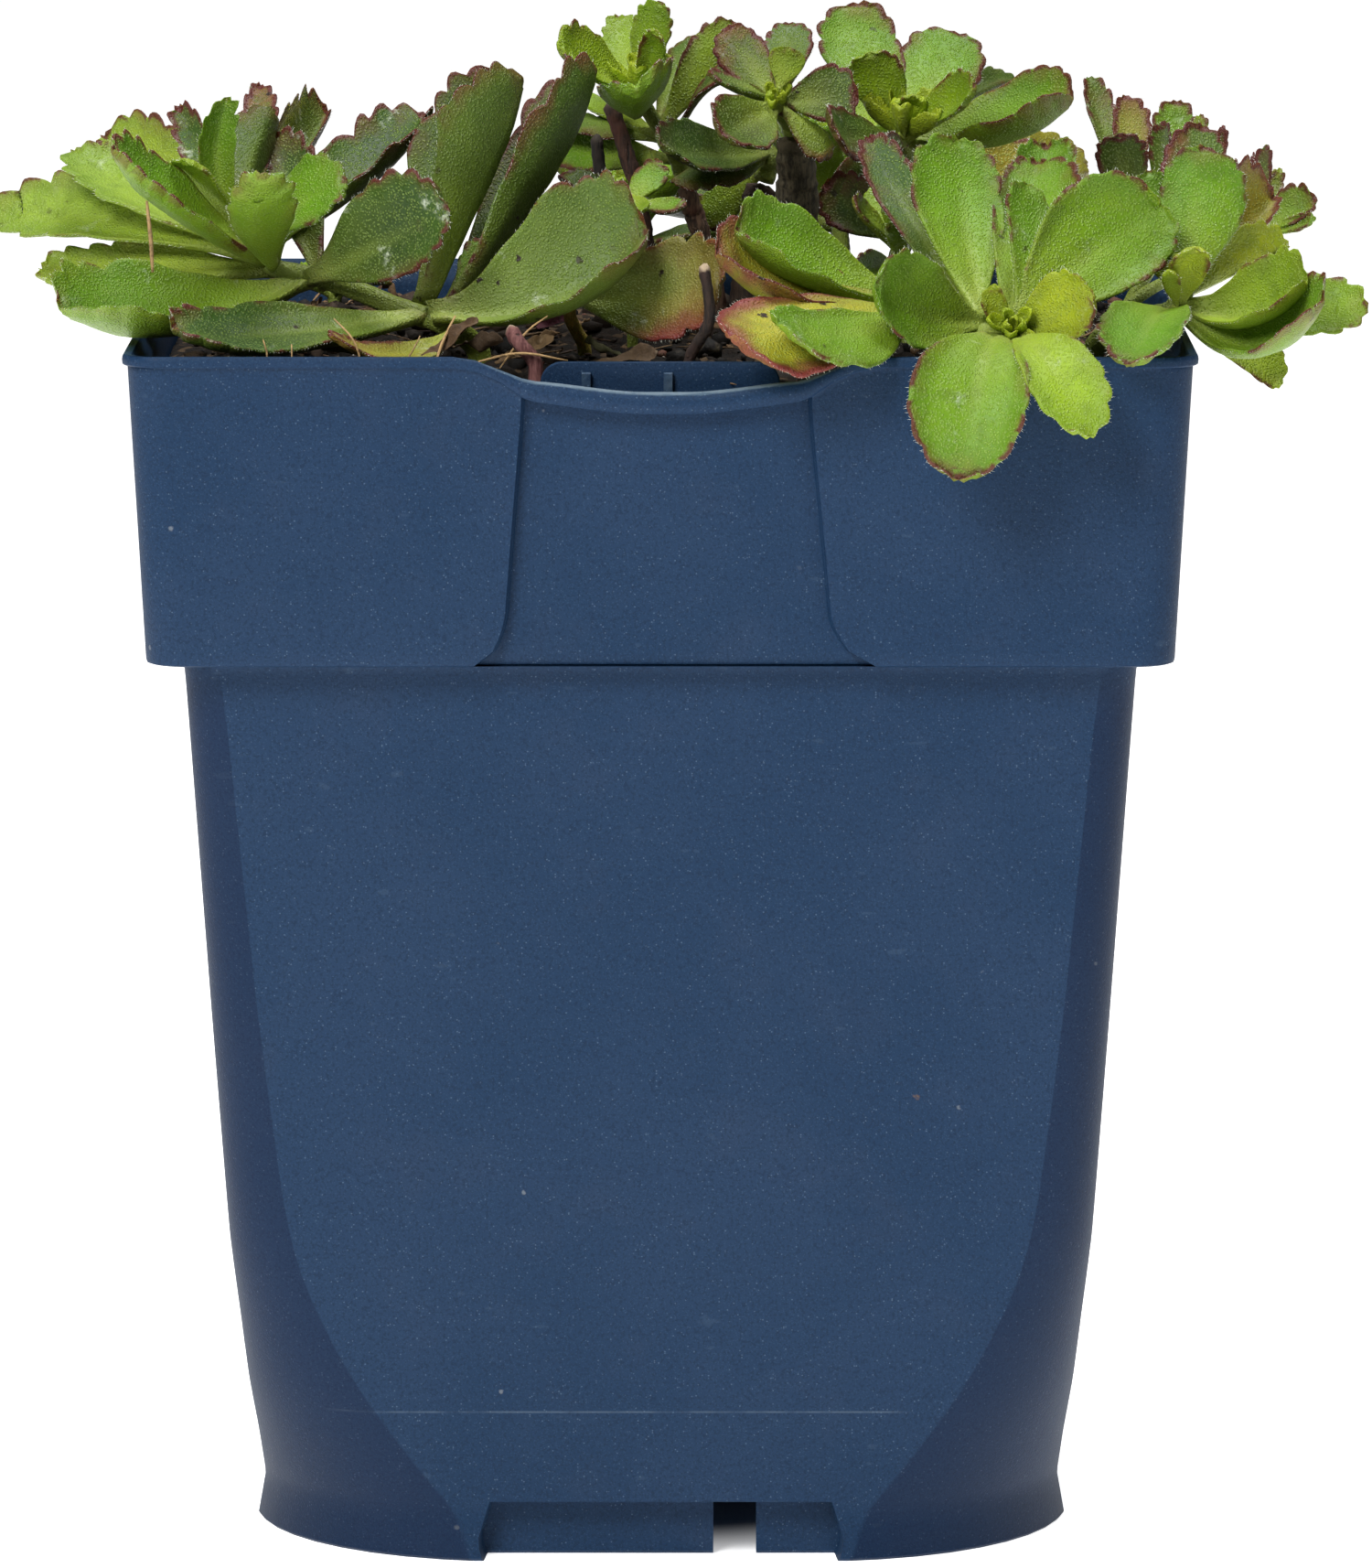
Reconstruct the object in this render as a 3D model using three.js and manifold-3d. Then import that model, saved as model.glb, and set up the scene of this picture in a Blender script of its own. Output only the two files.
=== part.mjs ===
// A potted stonecrop: a square nursery pot of dark blue plastic filled with peat, and the leafy
// stems of a creeping sedum with spoon-shaped, toothed leaves, each stem in a plain hole in the soil.
// Millimetres, +Z up. The origin is on the surface that the pot stands on, under the pot's middle.

import * as THREE from "three";
import { mergeVertices } from "three/addons/utils/BufferGeometryUtils.js";
import Module from "manifold-3d";

const wasm = await Module();
wasm.setup();

// Driving dimensions of the pot
const POT_HEIGHT = 128;
const RIM_HALF = 55;
const WALL = 1.2;
const LEDGE_HEIGHT = 95.8;
const FLOOR_TOP = 7.7;
const FOOT_HEIGHT = 6.5;
const CORNER_STEPS = 4;
const CLEARANCE = 0.3;
const CUT_REACH = 60;

// Outer wall from foot to rim: height, half width, corner radius
const OUTER_WALL = [
  [0, 43.2, 25],
  [5, 42.3, 20.7],
  [10.5, 42.8, 17],
  [17, 43.6, 13],
  [25, 44.3, 9],
  [34, 45.2, 6.6],
  [56.7, 46.7, 5.2],
  [LEDGE_HEIGHT - 1.6, 49.1, 4],
  [LEDGE_HEIGHT, 49.3, 4],
  [LEDGE_HEIGHT, 52.9, 3.5],
  [107.7, 53.5, 3.5],
  [POT_HEIGHT - 1.1, 54.5, 3.5],
  [POT_HEIGHT - 0.8, RIM_HALF, 3.8],
  [POT_HEIGHT, RIM_HALF, 3.8],
];

// Front of the collar: recessed middle panel, dipped rim and label pocket
const RECESS = [
  [-14.2, 122.6],
  [-15.8, 100.7],
  [-16.8, 97.7],
  [-19.4, 95.6],
  [22.5, 95.6],
  [18.9, 97.7],
  [17.4, 100.7],
  [15.5, 122.6],
];
const RECESS_DEPTH = 1.5;
const RECESS_BORDER = 2;
const DIP_HALF = 19.5;
const DIP_DEPTH = 3.8;
const POCKET_HALF = 13;
const POCKET_BACK = 48.2;
const POCKET_FLOOR = 108;
const POCKET_TOP = 126;
const POCKET_FRONT = 54.5;
const POCKET_RIBS = [-9.2, 0.8];
const RIB_HALF = 0.5;
const RIB_DEPTH = 0.6;
const DIP_BEHIND = 2.4;

// Foot notches, one on each side
const NOTCH_HALF = 17.8;
const NOTCH_FOOT_HALF = 19.7;
const NOTCH_HEIGHT = 6.1;
const NOTCH_WALL = 39.3;
const DRAIN_SLOT = [5.5, 10];
const DRAIN_HOLE = { offset: 24, radius: 4, sides: 8 };

// Soil and the stems' holes in it
const SOIL_EDGE = 122.8;
const SOIL_MOUND = 2.4;
const SOIL_TILT = 0.012;
const SOIL_HALF = 53;
const SOIL_RINGS = [0.84, 0.6, 0.25];
const HOLE_TOP = 131;
const ROOT_LEVEL = 112;
const FOOT_LEVELS = [ROOT_LEVEL, 123.5, 126.5];

// Leaves
const BLADE_THICKNESS = 1.5;
const WIDEST = 0.72;
const WIDEST_STATION = 0.55;
const FOOT_WIDTH = 0.17;
const TOOTH_DEPTH = 0.1;
const TEETH_START = 0.45;
const TEETH_CENTRE = 0.62;
const RIB_SHARE = 0.55;
const PLAIN_STATIONS = [0, 0.3, 0.55, 0.78];
const TOOTHED_FOOT = [0, 0.25];
const ROOT_DEPTH = 0.8;
const BROAD_SPAN = 15;
const SHORT_BLADE = 10;
const LONG_BLADE = 20;
const STEM_SIDES = 6;
const STEM_STEP = 5;
const HOLE_SIDES = 6;

const MATERIALS = {
  pot: [0x1d2440, 0.55],
  soil: [0x2a1d14, 0.95],
  leaf: [0x3f6b2c, 0.6],
  redLeaf: [0x7a3b33, 0.6],
  paleStem: [0x9a8a5e, 0.8],
  brownStem: [0x6b4a34, 0.85],
};

// Solids

function solidFrom(points, faces) {
  const mesh = new wasm.Mesh({
    numProp: 3,
    vertProperties: new Float32Array(points.flat()),
    triVerts: new Uint32Array(faces.flat()),
  });
  return new wasm.Manifold(mesh);
}

function solidOfGeometry(geometry) {
  geometry.deleteAttribute("normal");
  geometry.deleteAttribute("uv");
  const merged = mergeVertices(geometry, 1e-4);
  const mesh = new wasm.Mesh({
    numProp: 3,
    vertProperties: merged.attributes.position.array,
    triVerts: new Uint32Array(merged.index.array),
  });
  return new wasm.Manifold(mesh);
}

function geometryOf(solid) {
  const mesh = solid.getMesh();
  const geometry = new THREE.BufferGeometry();
  geometry.setAttribute("position", new THREE.BufferAttribute(mesh.vertProperties, 3));
  geometry.setIndex(new THREE.BufferAttribute(mesh.triVerts, 1));
  geometry.computeVertexNormals();
  return geometry;
}

function joined(solids) {
  return solids.reduce((whole, next) => whole.add(next));
}

// A ring of points round a square with rounded corners, anticlockwise from above.
function squareRing(z, half, radius) {
  const ring = [];
  for (let corner = 0; corner < 4; corner += 1) {
    const start = (corner * Math.PI) / 2;
    const turn = start + Math.PI / 4;
    const reach = (half - radius) * Math.SQRT2;
    for (let step = 0; step <= CORNER_STEPS; step += 1) {
      const angle = start + (step / CORNER_STEPS) * (Math.PI / 2);
      const x = reach * Math.cos(turn) + radius * Math.cos(angle);
      const y = reach * Math.sin(turn) + radius * Math.sin(angle);
      ring.push([x, y, z]);
    }
  }
  return ring;
}

// A closed skin over rings of equal count, from the lowest to the highest, with a fan at each end.
function loft(rings) {
  const count = rings[0].length;
  const faces = [];
  for (let level = 0; level < rings.length - 1; level += 1) {
    for (let i = 0; i < count; i += 1) {
      const next = (i + 1) % count;
      const a = level * count + i;
      const b = level * count + next;
      faces.push([a, b, b + count], [a, b + count, a + count]);
    }
  }
  const points = rings.flat();
  const last = (rings.length - 1) * count;
  const low = points.length;
  points.push(middleOf(rings[0]), middleOf(rings[rings.length - 1]));
  for (let i = 0; i < count; i += 1) {
    const next = (i + 1) % count;
    faces.push([low, next, i], [low + 1, last + i, last + next]);
  }
  return solidFrom(points, faces);
}

function middleOf(ring) {
  const sum = ring.reduce((total, p) => total.map((value, axis) => value + p[axis]), [0, 0, 0]);
  return sum.map((value) => value / ring.length);
}

// A prism of an outline in X and Z between two faces whose Y follows the height.
function slab(outline, frontAt, backAt) {
  const flat = outline.map(([x, z]) => new THREE.Vector2(x, z));
  const order = THREE.ShapeUtils.isClockWise(flat) ? outline.slice().reverse() : outline;
  const count = order.length;
  const front = order.map(([x, z]) => [x, frontAt(z), z]);
  const back = order.map(([x, z]) => [x, backAt(z), z]);
  const contour = order.map(([x, z]) => new THREE.Vector2(x, z));
  const faces = [];
  for (const [a, b, c] of THREE.ShapeUtils.triangulateShape(contour, [])) {
    faces.push([a, b, c], [count + a, count + c, count + b]);
  }
  for (let i = 0; i < count; i += 1) {
    const next = (i + 1) % count;
    faces.push([i, count + i, count + next], [i, count + next, next]);
  }
  return solidFrom([...front, ...back], faces);
}

function block(xLow, xHigh, yLow, yHigh, zLow, zHigh) {
  const outline = [
    [xLow, zLow],
    [xHigh, zLow],
    [xHigh, zHigh],
    [xLow, zHigh],
  ];
  return slab(outline, () => yLow, () => yHigh);
}

function cylinder(x, y, radius, zLow, zHigh, sides = HOLE_SIDES) {
  const shape = new THREE.CylinderGeometry(radius, radius, zHigh - zLow, sides);
  shape.rotateX(Math.PI / 2);
  shape.translate(x, y, (zLow + zHigh) / 2);
  return solidOfGeometry(shape);
}

// A round stem: upright from its foot in the soil, then on a smooth curve through its route.
function stem({ radius, foot, route }) {
  const upright = foot ? FOOT_LEVELS.map((z) => [...foot, z]) : [];
  const points = [...upright, ...route].map((p) => new THREE.Vector3(...p));
  const curve = new THREE.CatmullRomCurve3(points);
  const corners = [];
  for (let i = 0; i < STEM_SIDES; i += 1) {
    const angle = (i / STEM_SIDES) * 2 * Math.PI;
    corners.push(new THREE.Vector2(radius * Math.cos(angle), radius * Math.sin(angle)));
  }
  const circle = new THREE.Shape(corners);
  const steps = Math.max(3, Math.ceil(curve.getLength() / STEM_STEP));
  return solidOfGeometry(
    new THREE.ExtrudeGeometry(circle, { steps, bevelEnabled: false, extrudePath: curve }),
  );
}

// Pot

function wallAt(z) {
  const above = OUTER_WALL.findIndex(([level]) => level > z);
  const [zLow, halfLow, radiusLow] = OUTER_WALL[above - 1];
  const [zHigh, halfHigh, radiusHigh] = OUTER_WALL[above];
  const share = (z - zLow) / (zHigh - zLow);
  return {
    half: halfLow + share * (halfHigh - halfLow),
    radius: radiusLow + share * (radiusHigh - radiusLow),
  };
}

// A ring inside the outer wall, at the wall's thickness and a clearance from it.
function innerRing(z, clearance, wallHeight = z) {
  const { half, radius } = wallAt(wallHeight);
  const inset = WALL + clearance;
  return squareRing(z, half - inset, Math.max(radius - inset, 1));
}

// The space inside the pot: narrow body, a step above the ledge, wide collar.
function insideSpace(clearance, top) {
  const step = LEDGE_HEIGHT + WALL + clearance;
  const levels = OUTER_WALL.map(([z]) => z).filter((z) => z > FLOOR_TOP + 4 && z < 60);
  return [
    innerRing(FLOOR_TOP + clearance, clearance),
    ...levels.map((z) => innerRing(z, clearance)),
    innerRing(step - 0.01, clearance, LEDGE_HEIGHT - 0.5),
    innerRing(step, clearance, LEDGE_HEIGHT + WALL),
    innerRing(top, clearance, Math.min(top, POT_HEIGHT - WALL)),
  ];
}

// The recessed panel's outer face leans as the collar does.
function recessFace(z) {
  const height = THREE.MathUtils.clamp(z, LEDGE_HEIGHT + 0.1, POCKET_TOP);
  return RECESS_DEPTH - wallAt(height).half;
}

// The wall behind the recessed panel, a little wider and higher than the panel, on the ledge.
function recessBacking(clearance) {
  const panelTop = RECESS[0][1];
  const edge = RECESS.map(([x, z]) => [
    x + Math.sign(x) * (RECESS_BORDER + clearance),
    z === panelTop ? z + 1 + clearance : Math.max(z, LEDGE_HEIGHT),
  ]);
  return slab(edge, () => -CUT_REACH, (z) => recessFace(z) + WALL + clearance);
}

function recessCut() {
  return slab(RECESS, () => -CUT_REACH, recessFace);
}

// The front rim dips along half a wave to show the label slot.
function rimDip() {
  const outline = [];
  const steps = 12;
  for (let i = 0; i <= steps; i += 1) {
    const share = (2 * i) / steps - 1;
    const depth = (DIP_DEPTH * (1 + Math.cos(Math.PI * share))) / 2;
    outline.push([share * DIP_HALF, POT_HEIGHT - depth + (Math.abs(share) === 1 ? 0.01 : 0)]);
  }
  outline.push([DIP_HALF, POT_HEIGHT + 2], [-DIP_HALF, POT_HEIGHT + 2]);
  return slab(outline, () => -CUT_REACH, () => -POCKET_BACK - DIP_BEHIND);
}

// A narrow pocket behind the dip: a tongue with rounded corners, two ribs, side walls and a shelf.
function labelPocket() {
  const tongue = [
    [-POCKET_HALF, POCKET_FLOOR - WALL],
    [POCKET_HALF, POCKET_FLOOR - WALL],
    [POCKET_HALF, POCKET_TOP - 3],
    [POCKET_HALF - 1, POCKET_TOP - 0.9],
    [POCKET_HALF - 3, POCKET_TOP],
    [3 - POCKET_HALF, POCKET_TOP],
    [1 - POCKET_HALF, POCKET_TOP - 0.9],
    [-POCKET_HALF, POCKET_TOP - 3],
  ];
  const back = -POCKET_BACK;
  const front = -POCKET_FRONT;
  const face = back - WALL;
  const whole = slab(tongue, () => front, () => back);
  const slotHalf = POCKET_HALF - WALL;
  const slot = block(-slotHalf, slotHalf, front - 0.1, face, POCKET_FLOOR, POCKET_TOP + 4);
  const ribs = POCKET_RIBS.map((x) => {
    const [low, high] = [POCKET_FLOOR - 0.5, POCKET_TOP - 1];
    return block(x - RIB_HALF, x + RIB_HALF, face - RIB_DEPTH, back - 0.2, low, high);
  });
  return joined([whole.subtract(slot), ...ribs]);
}

function pocketSpace(clearance) {
  const reach = POCKET_HALF + clearance;
  const low = POCKET_FLOOR - WALL - clearance;
  return block(-reach, reach, -CUT_REACH, clearance - POCKET_BACK, low, HOLE_TOP);
}

const QUARTERS = [0, 1, 2, 3];

function turned(solid, quarter) {
  return solid.rotate([0, 0, 90 * quarter]);
}

// The hollow under the raised floor, kept off the walls of the four notches.
function undersideSpace() {
  const reach = NOTCH_FOOT_HALF + WALL;
  const inner = WALL - NOTCH_WALL;
  const kept = block(-reach, reach, -CUT_REACH, inner, -2, FLOOR_TOP + 2);
  const space = loft([innerRing(-1, 0, 0.01), innerRing(2, 0), innerRing(FOOT_HEIGHT, 0)]);
  return QUARTERS.reduce((left, quarter) => left.subtract(turned(kept, quarter)), space);
}

function notchCut() {
  const outline = [
    [-NOTCH_FOOT_HALF - 0.3, -1],
    [NOTCH_FOOT_HALF + 0.3, -1],
    [NOTCH_HALF, NOTCH_HEIGHT],
    [-NOTCH_HALF, NOTCH_HEIGHT],
  ];
  const recess = slab(outline, () => -CUT_REACH, () => -NOTCH_WALL);
  const drain = block(...DRAIN_SLOT, -NOTCH_WALL - 1, 2 - NOTCH_WALL, -1, NOTCH_HEIGHT - 0.4);
  return recess.add(drain);
}

function pot() {
  const outer = loft(OUTER_WALL.map(([z, half, radius]) => squareRing(z, half, radius)));
  const inside = loft(insideSpace(0, POT_HEIGHT + 1));
  const hollow = inside.subtract(recessBacking(0)).subtract(labelPocket());
  const { offset, radius, sides } = DRAIN_HOLE;
  const hole = cylinder(offset, offset, radius, FOOT_HEIGHT - 1, FLOOR_TOP + 1, sides);
  const sideCut = notchCut().add(hole);
  const cuts = QUARTERS.map((quarter) => turned(sideCut, quarter));
  return [hollow, undersideSpace(), recessCut(), rimDip(), ...cuts].reduce(
    (body, cut) => body.subtract(cut),
    outer,
  );
}

// Soil

// The peat is a low mound, a little higher towards the front.
function soilHeight(x, y) {
  const share = Math.min(1, Math.max(Math.abs(x), Math.abs(y)) / SOIL_HALF);
  return SOIL_EDGE + (SOIL_MOUND - SOIL_TILT * y) * (1 - share ** 4);
}

function soil(holes) {
  const rings = insideSpace(CLEARANCE, SOIL_EDGE);
  const edge = rings[rings.length - 1];
  rings[rings.length - 1] = edge.map(([x, y]) => [x, y, soilHeight(x, y)]);
  for (const share of SOIL_RINGS) {
    rings.push(edge.map(([x, y]) => [x * share, y * share, soilHeight(x * share, y * share)]));
  }
  const bed = loft(rings).subtract(recessBacking(CLEARANCE)).subtract(pocketSpace(CLEARANCE));
  return holes.reduce((body, hole) => body.subtract(hole), bed);
}

// A plain upright hole round the foot of a stem.
function stemHole({ radius, foot }) {
  const around = (radius + CLEARANCE) / Math.cos(Math.PI / HOLE_SIDES) + 0.1;
  return cylinder(...foot, around, ROOT_LEVEL - CLEARANCE, HOLE_TOP);
}

// Leaves

// One side of the blade's outline at u, from root (0) to tip (1): the half width as a share of the
// widest, and the height as a share of the length. A narrow foot widens on a sine to the widest
// place, an elliptic end closes it, and the end is drawn in between its rounded teeth.
function outlineAt(u, teeth) {
  const beyond = u - WIDEST_STATION;
  const rise = Math.min(u / WIDEST_STATION, 1);
  const round = (Math.max(beyond, 0) / (1 - WIDEST_STATION)) * (Math.PI / 2);
  const foot = FOOT_WIDTH + (1 - FOOT_WIDTH) * Math.sin((rise * Math.PI) / 2) ** 1.55;
  const across = beyond < 0 ? foot : Math.max(Math.cos(round), 0) ** 0.82;
  const along = beyond < 0 ? rise * WIDEST : WIDEST + (1 - WIDEST) * Math.sin(round);
  const phase = (Math.max(u - TEETH_START, 0) / (1 - TEETH_START)) * (teeth + 0.5);
  const dent = 1 - Math.abs(Math.sin(Math.PI * phase)) ** 0.6;
  const fade = THREE.MathUtils.clamp((u - TEETH_START + 0.03) * 10, 0, 1);
  const keep = 1 - TOOTH_DEPTH * dent * fade;
  const drawn = fade > 0 ? TEETH_CENTRE + (along - TEETH_CENTRE) * keep : along;
  return { across: across * keep, along: drawn };
}

// The places along the blade where its outline turns: the notches and crowns of the teeth.
function stationsOf(teeth) {
  if (teeth === 0) return PLAIN_STATIONS;
  const last = 2 * teeth + 1;
  const toothed = Array.from({ length: last }, (_, i) => {
    return TEETH_START + ((1 - TEETH_START) * i) / last;
  });
  return [...TOOTHED_FOOT, ...toothed];
}

// The blade's own directions: along it, across it to its left, and up from its upper face.
function bladeFrame(heading, rise, roll) {
  const [h, r, o] = [heading, rise, roll].map(THREE.MathUtils.degToRad);
  const along = new THREE.Vector3(Math.cos(r) * Math.cos(h), Math.cos(r) * Math.sin(h), Math.sin(r));
  const level = new THREE.Vector3(-Math.sin(h), Math.cos(h), 0);
  const up = new THREE.Vector3().crossVectors(along, level).multiplyScalar(Math.cos(o));
  up.addScaledVector(level, Math.sin(o));
  return { along, up, across: new THREE.Vector3().crossVectors(up, along) };
}

// A leaf row holds the root's place, the length, the right and left half widths, the heading, the
// rise above level and the roll of the blade, the angle at which its halves fold up along the rib,
// and how far the rib bows upwards and sways to the left.
function blade([x, y, z, length, right, left, heading, rise, roll, foldAngle, bow, sway]) {
  const teeth = length < SHORT_BLADE ? 0 : length < LONG_BLADE ? 2 : 3;
  const columns = right + left >= BROAD_SPAN ? [-1, -0.5, 0, 0.5, 1] : [-1, 0, 1];
  const { along, up, across } = bladeFrame(heading, rise, roll);
  const fold = THREE.MathUtils.degToRad(foldAngle);
  const curl = (2.4 * fold) / (left + right) || 1e-5;
  const thick = BLADE_THICKNESS / 2 / Math.max(Math.cos(fold), 0.5);

  // A point of the folded, bowed blade: side runs from -1 at the right edge to 1 at the left.
  function place(station, side, lift) {
    const { across: width, along: height } = outlineAt(station, teeth);
    const vein = (0.02 + 0.1 * Math.sin(Math.PI * height)) * Math.min(height * 2, 1);
    const share = height - vein + vein * Math.abs(side) ** 1.3;
    const offset = width * side * (side < 0 ? right : left);
    const arc = Math.abs(offset) * curl;
    const [straight, round] = [RIB_SHARE, (1 - RIB_SHARE) / curl];
    const flat = straight * offset * Math.cos(fold) + round * Math.sign(side) * Math.sin(arc);
    const raised = straight * Math.abs(offset) * Math.sin(fold) + round * (1 - Math.cos(arc));
    const hump = 4 * share * (1 - share);
    const point = new THREE.Vector3(x, y, z);
    point.addScaledVector(along, station === 0 ? -ROOT_DEPTH : share * length);
    point.addScaledVector(across, flat + sway * hump);
    point.addScaledVector(up, raised + bow * hump + lift * thick * (1 - side * side));
    return point.toArray();
  }

  // Each ring runs over the upper face from left to right and back under the blade.
  const rings = stationsOf(teeth).map((station) => {
    const over = columns.map((side) => place(station, side, 1)).reverse();
    const under = columns.slice(1, -1).map((side) => place(station, side, -1));
    return [...over, ...under];
  });
  return capped(rings, place(1, 1, 0));
}

// A closed skin over rings that ends in a point.
function capped(rings, tip) {
  const count = rings[0].length;
  const points = [...rings.flat(), middleOf(rings[0]), tip];
  const faces = [];
  const last = (rings.length - 1) * count;
  for (let i = 0; i < count; i += 1) {
    const next = (i + 1) % count;
    for (let level = 0; level < last; level += count) {
      faces.push([level + i, level + next, level + next + count]);
      faces.push([level + i, level + next + count, level + i + count]);
    }
    faces.push([points.length - 2, next, i], [last + i, last + next, points.length - 1]);
  }
  return solidFrom(points, faces);
}

// Shoots in the photo: green stems with their routes, and leaf rows as blade() reads them
const SHOOTS = [
  {
    name: "shoot_left",
    stems: [
      {
        radius: 1.2,
        foot: [-19, -33],
        route: [
          [-22.5, -36, 129.5],
          [-27, -35, 131],
          [-31, -33, 132.5],
          [-36, -31, 134],
          [-40.5, -30, 135],
          [-43.5, -29, 138.5],
        ],
      },
    ],
    leaves: [
      [-37, -31, 133.5, 28.5, 8.5, 8, -152, -6, 19, 41, -2.5, 1],
      [-41.5, -29, 135.5, 34.5, 5.5, 3.5, 151, 4, 46, 15, 1, -1.5],
      [-42, -28, 136.5, 26, 3.5, 6, 145, 19, 24, 20, 0, 0],
      [-40.5, -29, 134.5, 27, 4, 5, 156, -4, 34, 18, 0, 0],
      [-43.5, -27, 138, 29, 5.5, 2.5, 124, 16, 46, 22, 0, 0],
      [-41.5, -31, 136, 23.5, 5.5, 3.5, -140, 29, 31, 33, -0.5, 1],
      [-43.5, -30, 138.5, 14.5, 3, 3, 180, 84, 84, 54, 0, 2],
      [-43.5, -28, 138.5, 17.5, 3.5, 4, 75, 45, 126, 37, 1, -1],
      [-44, -28, 138.5, 18, 2.5, 2.5, 117, 41, 54, 40, 0, 0],
      [-43.5, -30, 138.5, 13, 1.5, 3.5, -124, 43, -175, 0, 0, 0],
      [-40.5, -31, 135.5, 18, 3, 4.5, -92, 33, -1, 12, -1, -1],
      [-40.5, -30, 135.5, 13.5, 4.5, 5.5, -34, 38, -53, 9, 2, 1],
      [-36, -32, 134, 21, 4.5, 6.5, -39, 24, -88, 10, 1, -0.5],
      [-35.5, -31, 133.5, 22, 4, 2.5, 106, 37, 32, 15, 0, 0],
      [-43.5, -28, 138.5, 27.5, 2.5, 2, 88, 28, 0, 16, 0, 0],
      [-43, -28, 138.5, 30.5, 1.5, 6, 75, 18, -5, 74, 0, 0],
      [-42, -28, 137, 26.5, 5.5, 6, 42, 26, -2, 47, -1, -0.5],
      [-24.5, -34, 131.5, 26.5, 8.5, 9, 36, 59, 25, 70, 0, 0.5],
      [-22.5, -35, 130.5, 34.5, 7, 6, 49, 43, 28, 59, -1, 0.5],
      [-23, -37, 130.5, 23.5, 11, 11.5, 3, 19, -36, 53, -2.5, -2],
      [-21, -34, 130, 9, 1.5, 1.5, 65, 60, -24, -6, 0, 0],
      [-24.5, -36, 130.5, 29.5, 4.5, 5.5, -152, -3, 27, 14, -0.5, 0.5],
      [-21, -37, 129.5, 18, 2, 3.5, -138, -2, 26, 10, -1, 2.5],
    ],
  },
  {
    name: "shoot_red",
    stems: [
      { radius: 0.8, foot: [-8, -30], route: [[-9.5, -31, 130], [-9, -31, 132.5]] },
    ],
    leaves: [
      [-9, -31, 132, 19, 5.5, 6, -29, 9, -70, 8, 0, -1.5],
    ],
  },
  {
    name: "shoot_top",
    stems: [
      {
        radius: 0.9,
        route: [
          [2.5, 3.2, 141.2],
          [1.5, 2, 144],
          [0.5, 0.5, 146],
          [-1.5, -1, 149],
          [-2.5, -1, 151],
        ],
      },
    ],
    leaves: [
      [-2.5, -1, 150.5, 14, 4.5, 2.5, -135, 24, 54, 26, 0, 0],
      [-2.5, 0, 150.5, 14, 2.5, 2.5, 100, 31, 10, 5, 0, 0],
      [-2.5, -1, 151, 10.5, 2, 3, -35, 70, -96, -4, 0, 0],
      [-2.5, -2, 150.5, 11, 2, 1.5, -71, 47, -135, 21, 0, 0],
      [-2.5, -1, 150, 16, 4.5, 6.5, -90, 7, -12, 43, -1.5, -0.5],
      [0, 0, 146.5, 14.5, 2, 3, 21, 55, -80, -21, 0, 0],
      [-0.5, 1, 147, 20, 2.5, 2, 76, 28, 170, 18, 0, 0],
      [-0.5, 1, 146.5, 14, 2, 1, 126, 10, 16, -9, 0, 0],
      [0.5, 2, 145.5, 16, 2, 3, 141, 6, -163, -2, 0, 0],
      [1, 3, 143.5, 17, 2.5, 3, 140, 2, 58, 0, 0, 0],
    ],
  },
  {
    name: "shoot_small_mid",
    stems: [
      {
        radius: 0.6,
        foot: [-3, -20],
        route: [
          [-2.5, -20, 134],
          [-3, -21, 139],
          [-3.5, -22, 141.5],
        ],
      },
    ],
    leaves: [
      [-3.5, -22, 141, 4, 0.5, 1, -141, 41, 120, -17, 0, 0],
      [-3.5, -22, 141, 5, 0.5, 1, -98, 39, 174, -1, 0, 0],
      [-3.5, -21.5, 140.5, 6.5, 2, 2, 45, 41, -22, -15, 0, 0],
      [-3.5, -24, 142, 8.5, 0.5, 1.5, -80, -11, -2, 27, 0, 0],
      [-3, -22, 141, 7, 2, 1, -35, -2, -30, 7, 0, 0],
      [-3, -20.5, 139.5, 12, 3, 1, 133, 15, 7, 22, 0, 0],
    ],
  },
  {
    name: "shoot_low_centre",
    stems: [
      { radius: 1.1, route: [[11, 4.7, 141], [11.5, 5, 142.5], [11.5, 3, 144]] },
    ],
    leaves: [
      [11.5, 4, 144, 22, 4, 3.5, -124, 5, 47, 25, -0.5, 0.5],
      [11.5, 5, 143.5, 16.5, 4, 1, -129, -3, -171, 12, 0, 0],
      [11, 6, 142.5, 10, 2, 3, 165, -37, 61, -22, 0, 0],
    ],
  },
  {
    name: "shoot_centre",
    stems: [
      {
        radius: 1.2,
        route: [
          [14.2, -5.6, 147],
          [14, -6, 148],
          [13, -8, 149.5],
          [12.5, -9, 151.5],
        ],
      },
    ],
    leaves: [
      [12, -9, 151, 10, 3, 3, 136, 44, 41, -22, 0, 0],
      [12, -10, 150, 12, 4, 4.5, -122, -13, 46, 22, 0, 0],
      [12.5, -9, 150.5, 8.5, 3, 4, 7, 2, -64, 5, 0, 0],
      [12.5, -10, 152, 4.5, 2, 2, 0, 75, -90, -11, 0, 0],
      [12.5, -8, 150.5, 8.5, 2, 2.5, -165, 20, 16, 5, 0, 0],
      [12.5, -8, 151, 13, 3, 2.5, 84, 31, -1, 2, 0, 0],
      [13, -9.5, 149.5, 7, 2.5, 2.5, -5, -41, 145, 1, 0, 0],
      [12, -8, 150.5, 12, 2, 2, 143, -14, 39, 10, 3, -2.5],
    ],
  },
  {
    name: "shoot_upper_right",
    stems: [
      {
        radius: 1.2,
        foot: [25, 8],
        route: [
          [25, 7, 130.5],
          [26, 6, 134.5],
          [26, 4, 140.5],
          [26, 1, 145],
          [25.5, -1, 147],
        ],
      },
    ],
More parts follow.
